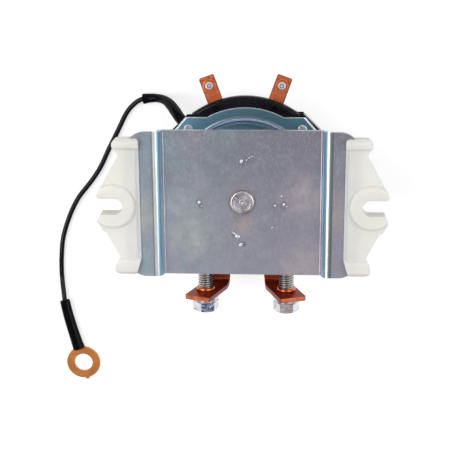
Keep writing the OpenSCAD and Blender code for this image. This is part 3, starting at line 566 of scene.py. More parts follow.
bracketLook = {
    "rounding": 0.00035,
    "left": (0.435, 0.495, 0.57),
    "right": (0.50, 0.465, 0.565),
    "nearShade": 0.59,
    "farShade": 1.00,
    "teal": (0.36, 0.54, 0.58),
    "rose": (0.60, 0.47, 0.57),
    "pale": (0.76, 0.77, 0.82),
    "metal": 0.7,
    "rough": (0.27, 0.37),
    "bump": 0.08,
    "half": 0.0415,
    # place, reach, tone and depth of each stain
    "stains": [
        ((0.0004, -0.0113, 0.0737), 0.007, (0.78, 0.55, 0.47), 0.75),
        ((-0.0234, -0.0171, 0.0737), 0.016, (0.76, 0.78, 0.66), 0.6),
        ((-0.0300, -0.0050, 0.0737), 0.020, (0.62, 0.73, 0.75), 0.5),
        ((0.0298, 0.0028, 0.0737), 0.014, (0.83, 0.66, 0.68), 0.7),
        ((0.0310, -0.0307, 0.0737), 0.014, (0.86, 0.70, 0.66), 0.7),
        ((-0.0492, -0.0056, 0.0782), 0.014, (0.78, 0.69, 0.53), 0.6),
        ((0.0473, -0.0046, 0.0782), 0.014, (0.78, 0.64, 0.53), 0.6),
        ((0.0001, 0.0196, 0.0737), 0.0022, (0.12, 0.12, 0.15), 1.0),
        ((0.0026, 0.0210, 0.0737), 0.0020, (0.15, 0.15, 0.18), 0.9),
        ((-0.0206, -0.0004, 0.0737), 0.0024, (0.10, 0.10, 0.12), 1.0),
        ((-0.0198, -0.0024, 0.0737), 0.0022, (0.20, 0.18, 0.20), 0.9),
        ((0.0197, -0.0014, 0.0737), 0.0026, (0.12, 0.11, 0.15), 1.0),
        ((0.0157, -0.0018, 0.0737), 0.0018, (0.18, 0.17, 0.20), 0.9),
        ((0.0187, 0.0029, 0.0737), 0.0016, (0.20, 0.19, 0.22), 0.9),
        ((-0.0042, -0.0160, 0.0737), 0.0020, (0.16, 0.17, 0.20), 0.9),
        ((0.0006, -0.0208, 0.0737), 0.0020, (0.12, 0.14, 0.18), 1.0),
    ],
    # bands along the two bends of each step, by distance from the middle: a teal band on the slope, a
    # painted highlight on the crest and painted shade beyond it, deeper on the right
    "bandSpan": (0.0365, 0.0430),
    "bendTone": (0.20, 0.40, 0.54),
    "bendBand": [(0.24, 0), (0.32, 0.85), (0.51, 1), (0.56, 0)],
    "crestTone": (0.88, 0.89, 0.89),
    "crestBand": [(0.53, 0), (0.585, 0.9), (0.80, 0.95), (0.86, 0)],
    "shadeTone": (0.16, 0.19, 0.21),
    "shadeBand": [(0.846, 0), (0.90, 0.6), (0.94, 0.4), (1.0, 0)],
    "rightShadeBand": [(0.69, 0), (0.76, 0.85), (0.92, 0.8), (1.0, 0)],
    # heat tint round the core's head
    "heatTone": (0.40, 0.27, 0.24),
    "heatBand": [(0.56, 0), (0.60, 0.6), (0.66, 0.3), (0.78, 0)],
    "heatPlace": (0, 0, 0.0737),
    "heatReach": 0.010,
    # half the width over which left turns into right
    "middle": 0.001,
    # clouds of the plating's interference colours: scale, twist and depth
    "veils": {"teal": (24, 1.1, 0.35), "rose": (31, 0.8, 0.3)},
    "cloudScale": 160,
    "mottleScale": 900,
}


def zincSheet(look):
    material, tree, shader, coords = startMaterial("zincSheet")
    parts = split(tree, coords.outputs["Object"])
    half = look["half"]
    tint = mixed(tree, ranged(tree, parts["X"], 0, 1, -half, half), look["left"], look["right"])
    shade = ranged(tree, parts["Y"], look["farShade"], look["nearShade"], -half, half)
    tint = mixed(tree, 1.0, tint, shade, "MULTIPLY")
    cloud = noise(tree, coords.outputs["Object"], look["cloudScale"], 6, 0.7)
    for name, (scale, twist, depth) in look["veils"].items():
        veil = noise(tree, stretched(tree, coords, (1, 0.6, 1), (0, 0, twist)), scale, 5, 0.6, 0.8)
        tint = mixed(tree, ranged(tree, veil, 0, depth, 0.5, 0.68), tint, look[name])
    for centre, reach, tone, depth in look["stains"]:
        mask = times(tree, spot(tree, coords, centre, reach), ranged(tree, cloud, 0.3 * depth, depth))
        tint = mixed(tree, mask, tint, tone)
    mottle = noise(tree, stretched(tree, coords, (1, 0.6, 1)), look["mottleScale"], 5, 0.75)
    tint = mixed(tree, ranged(tree, mottle, 0, 0.3, 0.48, 0.7), tint, look["pale"])
    heat = spot(tree, coords, look["heatPlace"], look["heatReach"])
    tint = mixed(tree, pulse(tree, heat, 1, 0, look["heatBand"]), tint, look["heatTone"])
    aside = absolute(tree, parts["X"])
    onRight = ranged(tree, parts["X"], 0, 1, -look["middle"], look["middle"])
    # a teal band on the slope, a painted highlight on the crest and painted shade beyond it
    for name in ("bend", "crest", "shade"):
        band = pulse(tree, aside, *look["bandSpan"], look[name + "Band"])
        tint = mixed(tree, band, tint, look[name + "Tone"])
    # more painted shade beyond the crest, on the right side only
    shadow = pulse(tree, aside, *look["bandSpan"], look["rightShadeBand"])
    tint = mixed(tree, times(tree, onRight, shadow), tint, look["shadeTone"])
    tree.links.new(tint, shader.inputs["Base Color"])
    shader.inputs["Metallic"].default_value = look["metal"]
    tree.links.new(ranged(tree, cloud, *look["rough"]), shader.inputs["Roughness"])
    bumped(tree, shader, mottle, look["bump"], plainLook["bumpDepth"])
    return material


zinc = zincSheet(bracketLook)
coat(roundedNode("bracket", "bracketSheet", "zinc_plate", bracketLook["rounding"]), zinc)

# Weld beads left on the panel where the core and the can were spotted down
beads = {
    "level": 0.07375,
    "sunk": 0.0001,
    "flat": 0.5,
    "grow": 1.25,
    "lumps": 0.06,
    "shadeAngle": 70,
    # place, length, width and turn of each
    "drops": [
        (-0.0003, 0.0199, 0.0019, 0.0013, 70), (0.0021, 0.0206, 0.0010, 0.0006, 40),
        (0.0034, 0.0217, 0.0012, 0.0006, 20), (0.0046, 0.0223, 0.0009, 0.0006, 0),
        (0.0083, 0.0212, 0.0010, 0.0005, -20), (0.0014, 0.0188, 0.0007, 0.0005, 10),
        (-0.0207, -0.0003, 0.0015, 0.0012, 80), (-0.0196, -0.0020, 0.0008, 0.0006, 0),
        (-0.0218, -0.0016, 0.0007, 0.0005, 30),
        (0.0199, -0.0011, 0.0013, 0.0009, 60), (0.0157, -0.0017, 0.0012, 0.0008, 120),
        (0.0187, 0.0030, 0.0010, 0.0007, 90), (0.0213, -0.0019, 0.0008, 0.0006, 30),
        (-0.0040, -0.0156, 0.0024, 0.0009, -38), (-0.0023, -0.0171, 0.0021, 0.0016, -25),
        (-0.0007, -0.0212, 0.0020, 0.0012, 55), (0.0143, -0.0126, 0.0010, 0.0006, 70),
    ],
}


def addBeads(settings):
    drops = []
    grow = settings["grow"]
    level = settings["level"] - settings["sunk"]
    for i, (x, y, length, width, turn) in enumerate(settings["drops"]):
        clearSelection()
        bpy.ops.mesh.primitive_ico_sphere_add(subdivisions=3, radius=0.5, location=(x, y, level))
        drop = bpy.context.object
        bpy.ops.object.mode_set(mode="EDIT")
        bpy.ops.mesh.select_all(action="SELECT")
        bpy.ops.transform.vertex_random(offset=settings["lumps"], uniform=0.6, normal=0.4, seed=i + 3)
        bpy.ops.mesh.vertices_smooth(factor=0.5, repeat=2)
        bpy.ops.object.mode_set(mode="OBJECT")
        drop.scale = (length * grow, width * grow, width * settings["flat"])
        drop.rotation_euler = (0, 0, math.radians(turn))
        settle(drop)
        drops.append(drop)
    whole = merge(drops, "weldBeads")
    smooth(whole, settings["shadeAngle"])
    return whole


weldBeads = addBeads(beads)
coat(weldBeads, finish("weldMetal", {
    "tone": (0.60, 0.60, 0.66), "second": (0.97, 0.97, 1.0), "patchScale": 900,
    "rough": (0.35, 0.5), "metal": 0.55, "grainScale": 1500, "bump": 0.3,
}))
seat(weldBeads, "relay", "zinc_plate")
print("bracket finished")

# Feet, moulded nylon

footLook = {
    "rounding": 0.0009,
    "tone": (0.80, 0.785, 0.715),
    "second": (0.87, 0.85, 0.80),
    "patchScale": 28,
    "rough": (0.34, 0.5),
    "grainScale": 1100,
    "bump": 0.08,
    "soak": 0.6,
    "soakDepth": 0.005,
}
nylon = finish("nylonMoulding", footLook)
for side in ("left", "right"):
    coat(roundedNode(side + "_foot", side + "Foot", "nylon", footLook["rounding"], 3), nylon)
print("feet finished")

# Can, core and the pieces inside it

canLook = {
    "rounding": 0.0003,
    # painted light: the flange lighter on the left than on the right, and painted shade towards the middle,
    # under the bracket
    "left": (0.35, 0.72, 0.95),
    "right": (0.09, 0.34, 0.43),
    "half": 0.045,
    "dull": (0.13, 0.32, 0.36),
    "middleShade": 0.62,
    "middleSpan": (0.008, 0.026),
    "cloudScale": 45,
    "grainScale": 1300,
    "bump": 0.04,
    "metal": 0.6,
    "rough": (0.16, 0.26),
    "span": (0.0388, 0.0600),
    # painted highlight and painted shade in bands from the flange up through the root and along the wall: a
    # pale lavender highlight on the root, a dark line beside it, teal and darker teal along the wall
    "paintedBands": [
        (0.000, (0.34, 0.36, 0.37), 0.0), (0.005, (0.29, 0.32, 0.33), 0.5),
        (0.018, (0.30, 0.32, 0.37), 0.8), (0.040, (0.42, 0.47, 0.62), 0.95),
        (0.066, (0.38, 0.43, 0.66), 0.95), (0.082, (0.045, 0.07, 0.18), 0.95),
        (0.125, (0.05, 0.10, 0.23), 0.9), (0.24, (0.05, 0.20, 0.29), 0.9),
        (0.40, (0.075, 0.26, 0.31), 0.85), (0.60, (0.022, 0.065, 0.07), 0.9),
        (1.000, (0.04, 0.12, 0.15), 0.6),
    ],
}


def drawnSteel(look):
    material, tree, shader, coords = startMaterial("canSteel")
    parts = split(tree, coords.outputs["Object"])
    # painted light, lighter on the left than on the right
    across = ranged(tree, parts["X"], 0, 1, -look["half"], look["half"])
    tint = mixed(tree, across, look["left"], look["right"])
    cloud = noise(tree, coords.outputs["Object"], look["cloudScale"], 5)
    tint = mixed(tree, ranged(tree, cloud, 0, 0.5, 0.48, 0.7), tint, look["dull"])
    # painted shade towards the middle, under the bracket
    aside = absolute(tree, parts["X"])
    shade = ranged(tree, aside, look["middleShade"], 1, *look["middleSpan"])
    tint = mixed(tree, 1.0, tint, shade, "MULTIPLY")
    # painted bands of highlight and shade up the root and wall
    up = ranged(tree, parts["Z"], 0, 1, *look["span"])
    paintedBandTone = ramp(tree, up, [(place, tone) for place, tone, depth in look["paintedBands"]])
    paintedBandDepth = ramp(tree, up, [(place, (depth, depth, depth)) for place, tone, depth in look["paintedBands"]])
    tint = mixed(tree, paintedBandDepth, tint, paintedBandTone)
    tree.links.new(tint, shader.inputs["Base Color"])
    shader.inputs["Metallic"].default_value = look["metal"]
    tree.links.new(ranged(tree, cloud, *look["rough"]), shader.inputs["Roughness"])
    grain = noise(tree, stretched(tree, coords, (1, 1, 0.15)), look["grainScale"], 3)
    bumped(tree, shader, grain, look["bump"], plainLook["bumpDepth"])
    return material


canSteel = drawnSteel(canLook)
bareSteel = finish("bareSteel", {
    "tone": (0.56, 0.55, 0.58), "second": (0.72, 0.71, 0.74), "patchScale": 300,
    "rough": (0.22, 0.36), "metal": 0.9, "grainScale": 1600, "bump": 0.15,
    "speck": (0.12, 0.11, 0.11), "speckScale": 900,
})
brightSteel = finish("brightPlate", {
    "tone": (0.55, 0.54, 0.57), "second": (0.74, 0.72, 0.75), "patchScale": 300,
    "rough": (0.10, 0.2), "metal": 0.97, "grainScale": 1500, "bump": 0.05,
    "speck": (0.16, 0.13, 0.14), "speckScale": 420, "speckEdge": 0.62, "speckDepth": 0.7,
})
screwPlate = finish("screwPlate", {
    "tone": (0.62, 0.63, 0.70), "second": (0.78, 0.78, 0.84), "patchScale": 260,
    "rough": (0.22, 0.34), "metal": 0.6, "grainScale": 1500, "bump": 0.05,
    "speck": (0.36, 0.36, 0.42), "speckScale": 520, "speckEdge": 0.6,
})
rivetPlate = finish("rivetPlate", {
    "tone": (0.58, 0.58, 0.62), "second": (0.97, 0.97, 0.99), "patchScale": 700,
    "rough": (0.15, 0.3), "metal": 0.6, "grainScale": 1500, "bump": 0.05,
})
springSteel = finish("springPlate", {
    "tone": (0.45, 0.45, 0.47), "second": (0.58, 0.58, 0.6), "patchScale": 350,
    "rough": (0.22, 0.38), "metal": 0.95, "grainScale": 1500, "bump": 0.08,
})
windingCopper = finish("windingCopper", {
    "tone": (0.25, 0.07, 0.025), "second": (0.36, 0.12, 0.04), "patchScale": 90, "stretch": (1, 1, 30),
    "rough": (0.25, 0.4), "metal": 0.7, "grainScale": 900, "bump": 0.3,
})
bobbinNylon = finish("bobbinNylon", {
    "tone": (0.62, 0.53, 0.34), "second": (0.70, 0.61, 0.42), "patchScale": 80,
    "rough": (0.4, 0.55), "grainScale": 1200, "bump": 0.08,
})
fibre = finish("stopFibre", {
    "tone": (0.14, 0.07, 0.03), "second": (0.2, 0.1, 0.05), "patchScale": 260,
    "rough": (0.6, 0.75), "grainScale": 2200, "bump": 0.3,
})
phenolic = finish("brownPhenolic", {
    "tone": (0.17, 0.045, 0.02), "second": (0.23, 0.07, 0.035), "patchScale": 240,
    "rough": (0.35, 0.5), "grainScale": 1500, "bump": 0.12,
})
sheetRubber = finish("sheetRubber", {
    "tone": (0.014, 0.014, 0.014), "second": (0.024, 0.024, 0.024), "patchScale": 300,
    "rough": (0.6, 0.8), "grainScale": 2600, "bump": 0.3,
})
canShell = roundedNode("can", "canShell", "can_steel", canLook["rounding"])
coat(canShell, canSteel)
cutEdge = {"low": 0.0369, "high": 0.03885, "wallRadius": 0.0380}


def onCutEdge(place, normal):
    # the flange's cut edge is bare steel, painted near-white as a painted highlight
    outside = math.hypot(place.x, place.y) > cutEdge["wallRadius"]
    return outside and cutEdge["low"] < place.z < cutEdge["high"] and abs(normal.z) < 0.93


# bare steel at the cut edge, painted near-white as a painted highlight
bareEdgeHighlight = finish("bareEdgeHighlight", {
    "tone": (0.82, 0.86, 0.82), "second": (0.95, 0.97, 0.93), "patchScale": 300,
    "rough": (0.3, 0.45), "metal": 0.5, "grainScale": 1500, "bump": 0.05,
})
coatFaces(canShell, bareEdgeHighlight, onCutEdge)
for node in ("pole_plate", "plunger", "plunger_rod"):
    coatNode(node, bareSteel)
coatNode("rod_clip", springSteel)
# the coil springs, with the node, body and joint of each, the end that stays and how far it travels
coilSprings = {
    "returnSpring": {
        "node": "return_spring", "body": "relay", "joint": "plunger_slide",
        "fixedEnd": 0.0637, "travel": 0.0026,
    },
    "contactSpring": {
        "node": "contact_spring", "body": "plunger_set", "joint": "contact_disc_slide",
        "fixedEnd": 0.00835, "travel": 0.00075,
    },
}
for name, spring in coilSprings.items():
    coil = copyNode(spring["node"], name)
    seat(coil, spring["body"], "spring_steel", spring["node"])
    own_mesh(coil)
    coat(coil, springSteel)
coatNode("coil", windingCopper)
coatNode("bobbin", bobbinNylon)
coatNode("stop_washer", fibre)
for node in ("insulating_bush", "spring_seat"):
    coatNode(node, phenolic)
coatNode("flange_gasket", sheetRubber)
coreLook = {
    "dark": (0.30, 0.27, 0.28), "mid": (0.62, 0.60, 0.63), "pale": (0.92, 0.91, 0.94),
    "ringScale": 330, "ringTwist": 1.2, "ringDetail": 2.0, "ringDepth": 0.2, "cloudScale": 260,
    "metal": 0.85, "rough": (0.24, 0.4), "bump": 0.2, "rounding": 0.00015,
}


def turnedSteel(look):
    # turning rings round the core's axis, broken by the hammering of its head
    material, tree, shader, coords = startMaterial("turnedSteel")
    rings = tree.nodes.new("ShaderNodeTexWave")
    rings.wave_type = "RINGS"
    rings.rings_direction = "Z"
    rings.inputs["Scale"].default_value = look["ringScale"]
    rings.inputs["Distortion"].default_value = look["ringTwist"]
    rings.inputs["Detail Scale"].default_value = look["ringDetail"]
    tree.links.new(coords.outputs["Object"], rings.inputs["Vector"])
    cloud = noise(tree, coords.outputs["Object"], look["cloudScale"], 5, 0.65)
    worn = mixed(tree, look["ringDepth"], cloud, rings.outputs["Color"])
    tones = ramp(tree, worn, [(0.3, look["dark"]), (0.5, look["mid"]), (0.72, look["pale"])])
    tree.links.new(tones, shader.inputs["Base Color"])
    shader.inputs["Metallic"].default_value = look["metal"]
    tree.links.new(ranged(tree, cloud, *look["rough"]), shader.inputs["Roughness"])
    bumped(tree, shader, worn, look["bump"], plainLook["bumpDepth"])
    return material


coat(roundedNode("core", "corePin", "bare_steel", coreLook["rounding"]), turnedSteel(coreLook))
print("can and inner pieces finished")

# Base and cover, black moulding

moulding = finish("blackMoulding", {
    "tone": (0.004, 0.0035, 0.006), "second": (0.009, 0.008, 0.012), "patchScale": 120,
    "rough": (0.10, 0.2), "grainScale": 600, "bump": 0.05, "specular": 0.26,
    "speck": (0.06, 0.06, 0.07), "speckScale": 1100, "speckEdge": 0.74,
})
baseShape = {
    "rounding": 0.00025,
    # where the lugs' flat ends lie, and how far they lean
    "endY": 0.0359, "within": 0.0005, "from": 0.024, "to": 0.034,
    "high": 0.0360, "low": 0.0279, "draft": 0.28,
}
baseMoulding = roundedNode("terminal_base", "baseMoulding", "moulding", baseShape["rounding"])
coat(baseMoulding, moulding)


def draftLugs(piece, settings):
    # the flat ends of the lugs lean in towards the back, as moulded
    for vert in piece.data.vertices:
        place = vert.co
        onEnd = abs(abs(place.y) - settings["endY"]) < settings["within"] and abs(vert.normal.x) < 0.7
        if onEnd and settings["from"] < abs(place.x) < settings["to"] and place.z > settings["low"]:
            fall = max(settings["high"] - place.z, 0)
            vert.co.y -= math.copysign(fall * settings["draft"], place.y)


draftLugs(baseMoulding, baseShape)
coatNode("front_cover", moulding)
coatNode("grommet", rubberBlack)
print("base and cover finished")

# Copper work

barCopper = finish("barCopper", {
    "tone": (0.54, 0.075, 0.028), "second": (0.84, 0.22, 0.08), "patchScale": 110,
    "patchLow": 0.42, "patchHigh": 0.74,
    "rough": (0.18, 0.32), "metal": 0.88, "grainScale": 1300, "bump": 0.1,
    "speck": (0.12, 0.03, 0.015), "speckScale": 500, "speckEdge": 0.66,
})
tabCopper = finish("tabCopper", {
    "tone": (0.84, 0.175, 0.06), "second": (0.95, 0.29, 0.115), "patchScale": 110,
    "rough": (0.25, 0.4), "metal": 0.85, "grainScale": 1300, "bump": 0.1,
    "speck": (0.25, 0.045, 0.02), "speckScale": 420, "speckEdge": 0.62,
})
signalTabLook = {
    "rounding": 0.00015,
    "angle": math.radians(20), "screwRadius": 0.0532, "plateZ": 0.0345, "tipZ": 0.0353, "reach": 0.0055,
    "halfWidth": 0.00395, "end": 0.0581, "edge": 0.0007,
    # painted shade rings and a painted highlight ring round the collar, and painted shade along the edges
    "paintedShadeRings": [(0.0, 0), (0.2, 0), (0.29, 0.4), (0.35, 0.3), (0.4, 0), (0.44, 0), (0.5, 0.8), (0.56, 0)],
    "paintedHighlightRing": [(0.34, 0), (0.42, 0.5), (0.5, 0)],
    "shade": (0.42, 0.075, 0.035), "highlightTone": (0.98, 0.42, 0.2), "edgeShade": (0.30, 0.045, 0.04),
    # painted highlights on the rim and middle of the screw's end, painted shade round its dimple
    "tip": [
        (0.58, (0.35, 0.36, 0.42)), (0.66, (1, 1, 1)), (0.76, (0.92, 0.93, 0.97)),
        (0.81, (0.26, 0.29, 0.40)), (0.86, (0.34, 0.37, 0.48)), (0.93, (0.9, 0.92, 0.97)),
    ],
}


def signalSpot(tree, coords, side, height):
    # distance from the signal screw's axis, one on it and nothing at the reach
    turn = side * signalTabLook["angle"]
    away = signalTabLook["screwRadius"]
    place = (away * math.sin(turn), away * math.cos(turn), height)
    return spot(tree, coords, place, signalTabLook["reach"])


def paintTabLight(material, side):
    # painted shade rings and a painted highlight ring round the screw's collar, and painted shade along the
    # strip's edges and end
    tree, shader, coords = openMaterial(material)
    tones = shader.inputs["Base Color"].links[0].from_socket
    near = signalSpot(tree, coords, side, signalTabLook["plateZ"])
    tones = mixed(tree, pulse(tree, near, 0, 1, signalTabLook["paintedShadeRings"]), tones, signalTabLook["shade"])
    tones = mixed(tree, pulse(tree, near, 0, 1, signalTabLook["paintedHighlightRing"]), tones, signalTabLook["highlightTone"])
    turned = stretched(tree, coords, (1, 1, 1), (0, 0, side * signalTabLook["angle"]))
    parts = split(tree, turned)
    wide, edge = signalTabLook["halfWidth"], signalTabLook["edge"]
    sides = ranged(tree, absolute(tree, parts["X"]), 0, 1, wide - edge, wide)
    tones = mixed(tree, sides, tones, signalTabLook["edgeShade"])
    end = ranged(tree, parts["Y"], 0, 1, signalTabLook["end"] - edge, signalTabLook["end"])
    tones = mixed(tree, end, tones, signalTabLook["edgeShade"])
    tree.links.new(tones, shader.inputs["Base Color"])


def paintTipLight(material, side):
    # painted highlights on the rolled edge and the middle of the screw's end, and painted shade round its
    # dimple
    tree, shader, coords = openMaterial(material)
    tones = ramp(tree, signalSpot(tree, coords, side, signalTabLook["tipZ"]), signalTabLook["tip"])
    tree.links.new(tones, shader.inputs["Base Color"])


signalCopper, signalPlate = {}, {}
for side, sign in (("left", -1), ("right", 1)):
    signalCopper[side] = tabCopper.copy()
    signalCopper[side].name = side + "TabCopper"
    paintTabLight(signalCopper[side], sign)
    signalPlate[side] = screwPlate.copy()
    signalPlate[side].name = side + "ScrewPlate"
    paintTipLight(signalPlate[side], sign)
ringBronze = finish("ringBronze", {
    "tone": (0.56, 0.19, 0.045), "second": (0.68, 0.27, 0.075), "patchScale": 120,
    "rough": (0.38, 0.55), "metal": 0.75, "grainScale": 1400, "bump": 0.15,
    "speck": (0.2, 0.08, 0.03), "speckScale": 900, "speckEdge": 0.66,
})
cutCopper = finish("cutCopper", {
    "tone": (0.42, 0.085, 0.035), "second": (0.72, 0.23, 0.10), "patchScale": 300,
    "rough": (0.34, 0.5), "metal": 0.75, "grainScale": 1300, "bump": 0.12,
})
# painted shade on the bars' inward-facing sides
shadedInnerCopper = finish("shadedInnerCopper", {
    "tone": (0.15, 0.024, 0.014), "second": (0.30, 0.06, 0.042), "patchScale": 300,
    "rough": (0.34, 0.5), "metal": 0.7, "grainScale": 1300, "bump": 0.12,
})
# painted shade on the tab's face towards the body
shadedFaceCopper = finish("shadedFaceCopper", {
    "tone": (0.26, 0.022, 0.008), "second": (0.36, 0.044, 0.018), "patchScale": 160,
    "rough": (0.34, 0.46), "metal": 0.6, "grainScale": 1300, "bump": 0.1, "specular": 0.3,
})
collarCopper = finish("collarCopper", {
    "tone": (0.62, 0.12, 0.03), "second": (0.78, 0.24, 0.07), "patchScale": 200,
    "rough": (0.14, 0.24), "metal": 0.88, "grainScale": 1300, "bump": 0.03,
})
collar = {
    "x": 0.021261,
    "z": 0.0352,
    "baseY": -0.0584,
    "turns": 64,
    "clear": 0.0062,
    "lipFrom": -0.05835,
    "weld": 0.000005,
    "shadeAngle": 40,
    "barRounding": 0.0004,
    # radius and height above the tab, all round the lip
    "section": [
        (0.00402, 0.0001), (0.00450, 0.0001), (0.00450, 0.0006), (0.00474, 0.0009), (0.00488, 0.0013),
        (0.00490, 0.0016), (0.00480, 0.0020), (0.00462, 0.0023), (0.00436, 0.00245), (0.00402, 0.00248),
    ],
}
tabFrontY = -0.0578


def onTabFace(place, normal):
    return place.y < tabFrontY and normal.y > 0.5


def onCutSide(place, normal):
    return place.y < tabFrontY and abs(normal.y) < 0.5


def onInnerSide(place, normal):
    return onCutSide(place, normal) and normal.x * math.copysign(1, place.x) < -0.3


def flattenLip(bar, settings):
    # the copy loses its own lip, a finer one takes the place
    pick(bar)
    bpy.ops.object.mode_set(mode="EDIT")
    bpy.ops.mesh.select_all(action="DESELECT")
    mesh = bmesh.from_edit_mesh(bar.data)
    for vert in mesh.verts:
        fromAxis = math.hypot(abs(vert.co.x) - settings["x"], vert.co.z - settings["z"])
        vert.select = vert.co.y > settings["lipFrom"] and fromAxis < settings["clear"]
    mesh.select_flush_mode()
    bmesh.update_edit_mesh(bar.data)
    bpy.ops.mesh.delete(type="VERT")
    bpy.ops.mesh.select_all(action="DESELECT")
    bpy.ops.mesh.select_non_manifold(extend=False)
    bpy.ops.mesh.bridge_edge_loops()
    bpy.ops.object.mode_set(mode="OBJECT")


def addCollar(x, settings):
    # the drawn lip that the bolt is screwed through
    clearSelection()
    radius, height = settings["section"][0]
    bpy.ops.mesh.primitive_circle_add(vertices=settings["turns"], radius=radius, location=(0, 0, 0))
    ring = bpy.context.object
    bpy.ops.object.mode_set(mode="EDIT")
    bpy.ops.mesh.select_all(action="SELECT")
    for nextRadius, nextHeight in settings["section"][1:] + settings["section"][:1]:
        bpy.ops.mesh.extrude_edges_move()
        grow = nextRadius / radius
        bpy.ops.transform.resize(value=(grow, grow, 1), center_override=(0, 0, 0))
        bpy.ops.transform.translate(value=(0, 0, nextHeight - height))
        radius = nextRadius
        height = nextHeight
    bpy.ops.mesh.select_all(action="SELECT")
    bpy.ops.mesh.remove_doubles(threshold=settings["weld"])
    bpy.ops.mesh.normals_make_consistent(inside=False)
    bpy.ops.object.mode_set(mode="OBJECT")
    ring.rotation_euler = (-math.pi / 2, 0, 0)
    ring.location = (x, settings["baseY"], settings["z"])
    settle(ring)
    smooth(ring, settings["shadeAngle"])
    return ring


for side, x in (("left", -collar["x"]), ("right", collar["x"])):
    bar = copyNode(side + "_bar", side + "Bar")
    flattenLip(bar, collar)
    roundEdges(bar, collar["barRounding"], 3)
    coat(bar, barCopper)
    coatFaces(bar, shadedFaceCopper, onTabFace)
    coatFaces(bar, cutCopper, onCutSide)
    coatFaces(bar, shadedInnerCopper, onInnerSide)
    lip = addCollar(x, collar)
    coat(lip, collarCopper)
    bar = merge([bar, lip], side + "Bar")
    seat(bar, "relay", "copper_bar", side + "_bar")
    tab = roundedNode(side + "_signal_tab", side + "SignalTab", "copper_tab", signalTabLook["rounding"])
    coat(tab, signalCopper[side])
coatNode("contact_disc", tabCopper)
coat(ringTerminal, ringBronze)
for node in ("left_contact_tip", "right_contact_tip"):
    coatNode(node, bareSteel)
print("copper finished")

# Fasteners

bolts = {
    "x": 0.021261,
    "z": 0.0352,
    "seatY": -0.0639,
    "tipY": -0.0439,
    "crest": 0.00396,
    "root": 0.00326,
    "sunk": 0.0002,
    "pitch": 0.00125,
    "turns": 15,
    "startY": -0.0633,
    "crestWidth": 0.2,
    "rounding": 0.00012,
    "toothShare": 0.94,
    "stepsPerTurn": 36,
    "weld": 0.000002,
    "shadeAngle": 30,
    "shaftSides": 48,
    "shaftBevel": 0.0005,
    "washerRounding": 0.0002,
    "metal": 0.5,
    "rough": 0.25,
    # painted shade in the grooves to painted highlight on the crests
    "threadTones": [
        (0.0, (0.16, 0.15, 0.145)), (0.3, (0.36, 0.35, 0.34)),
        (0.6, (0.88, 0.86, 0.83)), (1.0, (0.97, 0.95, 0.93)),
    ],
    "smudge": (0.52, 0.50, 0.47),
    # painted reflections and painted shade in streaks along the shaft, from its inner to its outer side
    "streakLightTones": [
        (0.0, (0.06, 0.06, 0.055)), (0.14, (0.16, 0.15, 0.14)), (0.22, (0.6, 0.58, 0.56)),
        (0.32, (1.0, 0.98, 0.94)), (0.42, (0.66, 0.58, 0.56)), (0.60, (0.60, 0.53, 0.52)),
        (0.70, (1.0, 0.96, 0.90)), (0.88, (0.95, 0.95, 0.93)), (1.0, (0.48, 0.49, 0.50)),
    ],
}


def addHead(side, settings):
    # the node's head, cut from its plain shaft
    head = copyNode(side + "_bolt", side + "Bolt")
    bpy.ops.object.mode_set(mode="EDIT")
    bpy.ops.mesh.select_all(action="SELECT")
    cut = (0, settings["seatY"] + settings["sunk"], 0)
    bpy.ops.mesh.bisect(plane_co=cut, plane_no=(0, 1, 0), use_fill=True, clear_outer=True)
    bpy.ops.object.mode_set(mode="OBJECT")
    roundEdges(head, settings["rounding"])
    return head


def addShaft(x, settings):
    clearSelection()
    length = settings["tipY"] - settings["seatY"]
    bpy.ops.mesh.primitive_cylinder_add(
        vertices=settings["shaftSides"], radius=settings["root"], depth=length,
        location=(x, settings["seatY"] + length / 2, settings["z"]), rotation=(math.pi / 2, 0, 0),
    )
    shaft = bpy.context.object
    settle(shaft)
    roundEdges(shaft, settings["shaftBevel"], 2, 60)
    return shaft


def addThread(x, settings):
    # one tooth's section, wound into the thread
    clearSelection()
    bpy.ops.mesh.primitive_plane_add(size=1, location=(0, 0, 0), rotation=(math.pi / 2, 0, 0))
    thread = bpy.context.object
    settle(thread)
    depth = settings["crest"] - settings["root"] + settings["sunk"]
    bpy.ops.object.mode_set(mode="EDIT")
    bpy.ops.mesh.select_all(action="SELECT")
    width = settings["pitch"] * settings["toothShare"]
    bpy.ops.transform.resize(value=(depth, 1, width), center_override=(0, 0, 0))
    bpy.ops.transform.translate(value=(settings["crest"] - depth / 2, 0, 0))
    bpy.ops.mesh.select_all(action="DESELECT")
    section = bmesh.from_edit_mesh(thread.data)
    for vert in section.verts:
        vert.select = vert.co.x > settings["root"]
    section.select_flush_mode()
    bmesh.update_edit_mesh(thread.data)
    bpy.ops.transform.resize(value=(1, 1, settings["crestWidth"]), center_override=(settings["crest"], 0, 0))
    bpy.ops.mesh.select_all(action="SELECT")
    bpy.ops.mesh.delete(type="ONLY_FACE")
    bpy.ops.object.mode_set(mode="OBJECT")
    winding = thread.modifiers.new("winding", "SCREW")
    winding.screw_offset = settings["pitch"]
    winding.iterations = settings["turns"]
    winding.steps = settings["stepsPerTurn"]
    winding.render_steps = settings["stepsPerTurn"]
    bpy.ops.object.modifier_apply(modifier=winding.name)
    bpy.ops.object.mode_set(mode="EDIT")
    bpy.ops.mesh.select_all(action="SELECT")
    bpy.ops.mesh.remove_doubles(threshold=settings["weld"])
    bpy.ops.mesh.fill_holes(sides=4)
    bpy.ops.mesh.select_all(action="SELECT")
    bpy.ops.mesh.normals_make_consistent(inside=False)
    bpy.ops.object.mode_set(mode="OBJECT")
    thread.rotation_euler = (-math.pi / 2, 0, 0)
    thread.location = (x, settings["startY"], settings["z"])
    settle(thread)
    smooth(thread, settings["shadeAngle"])
    return thread


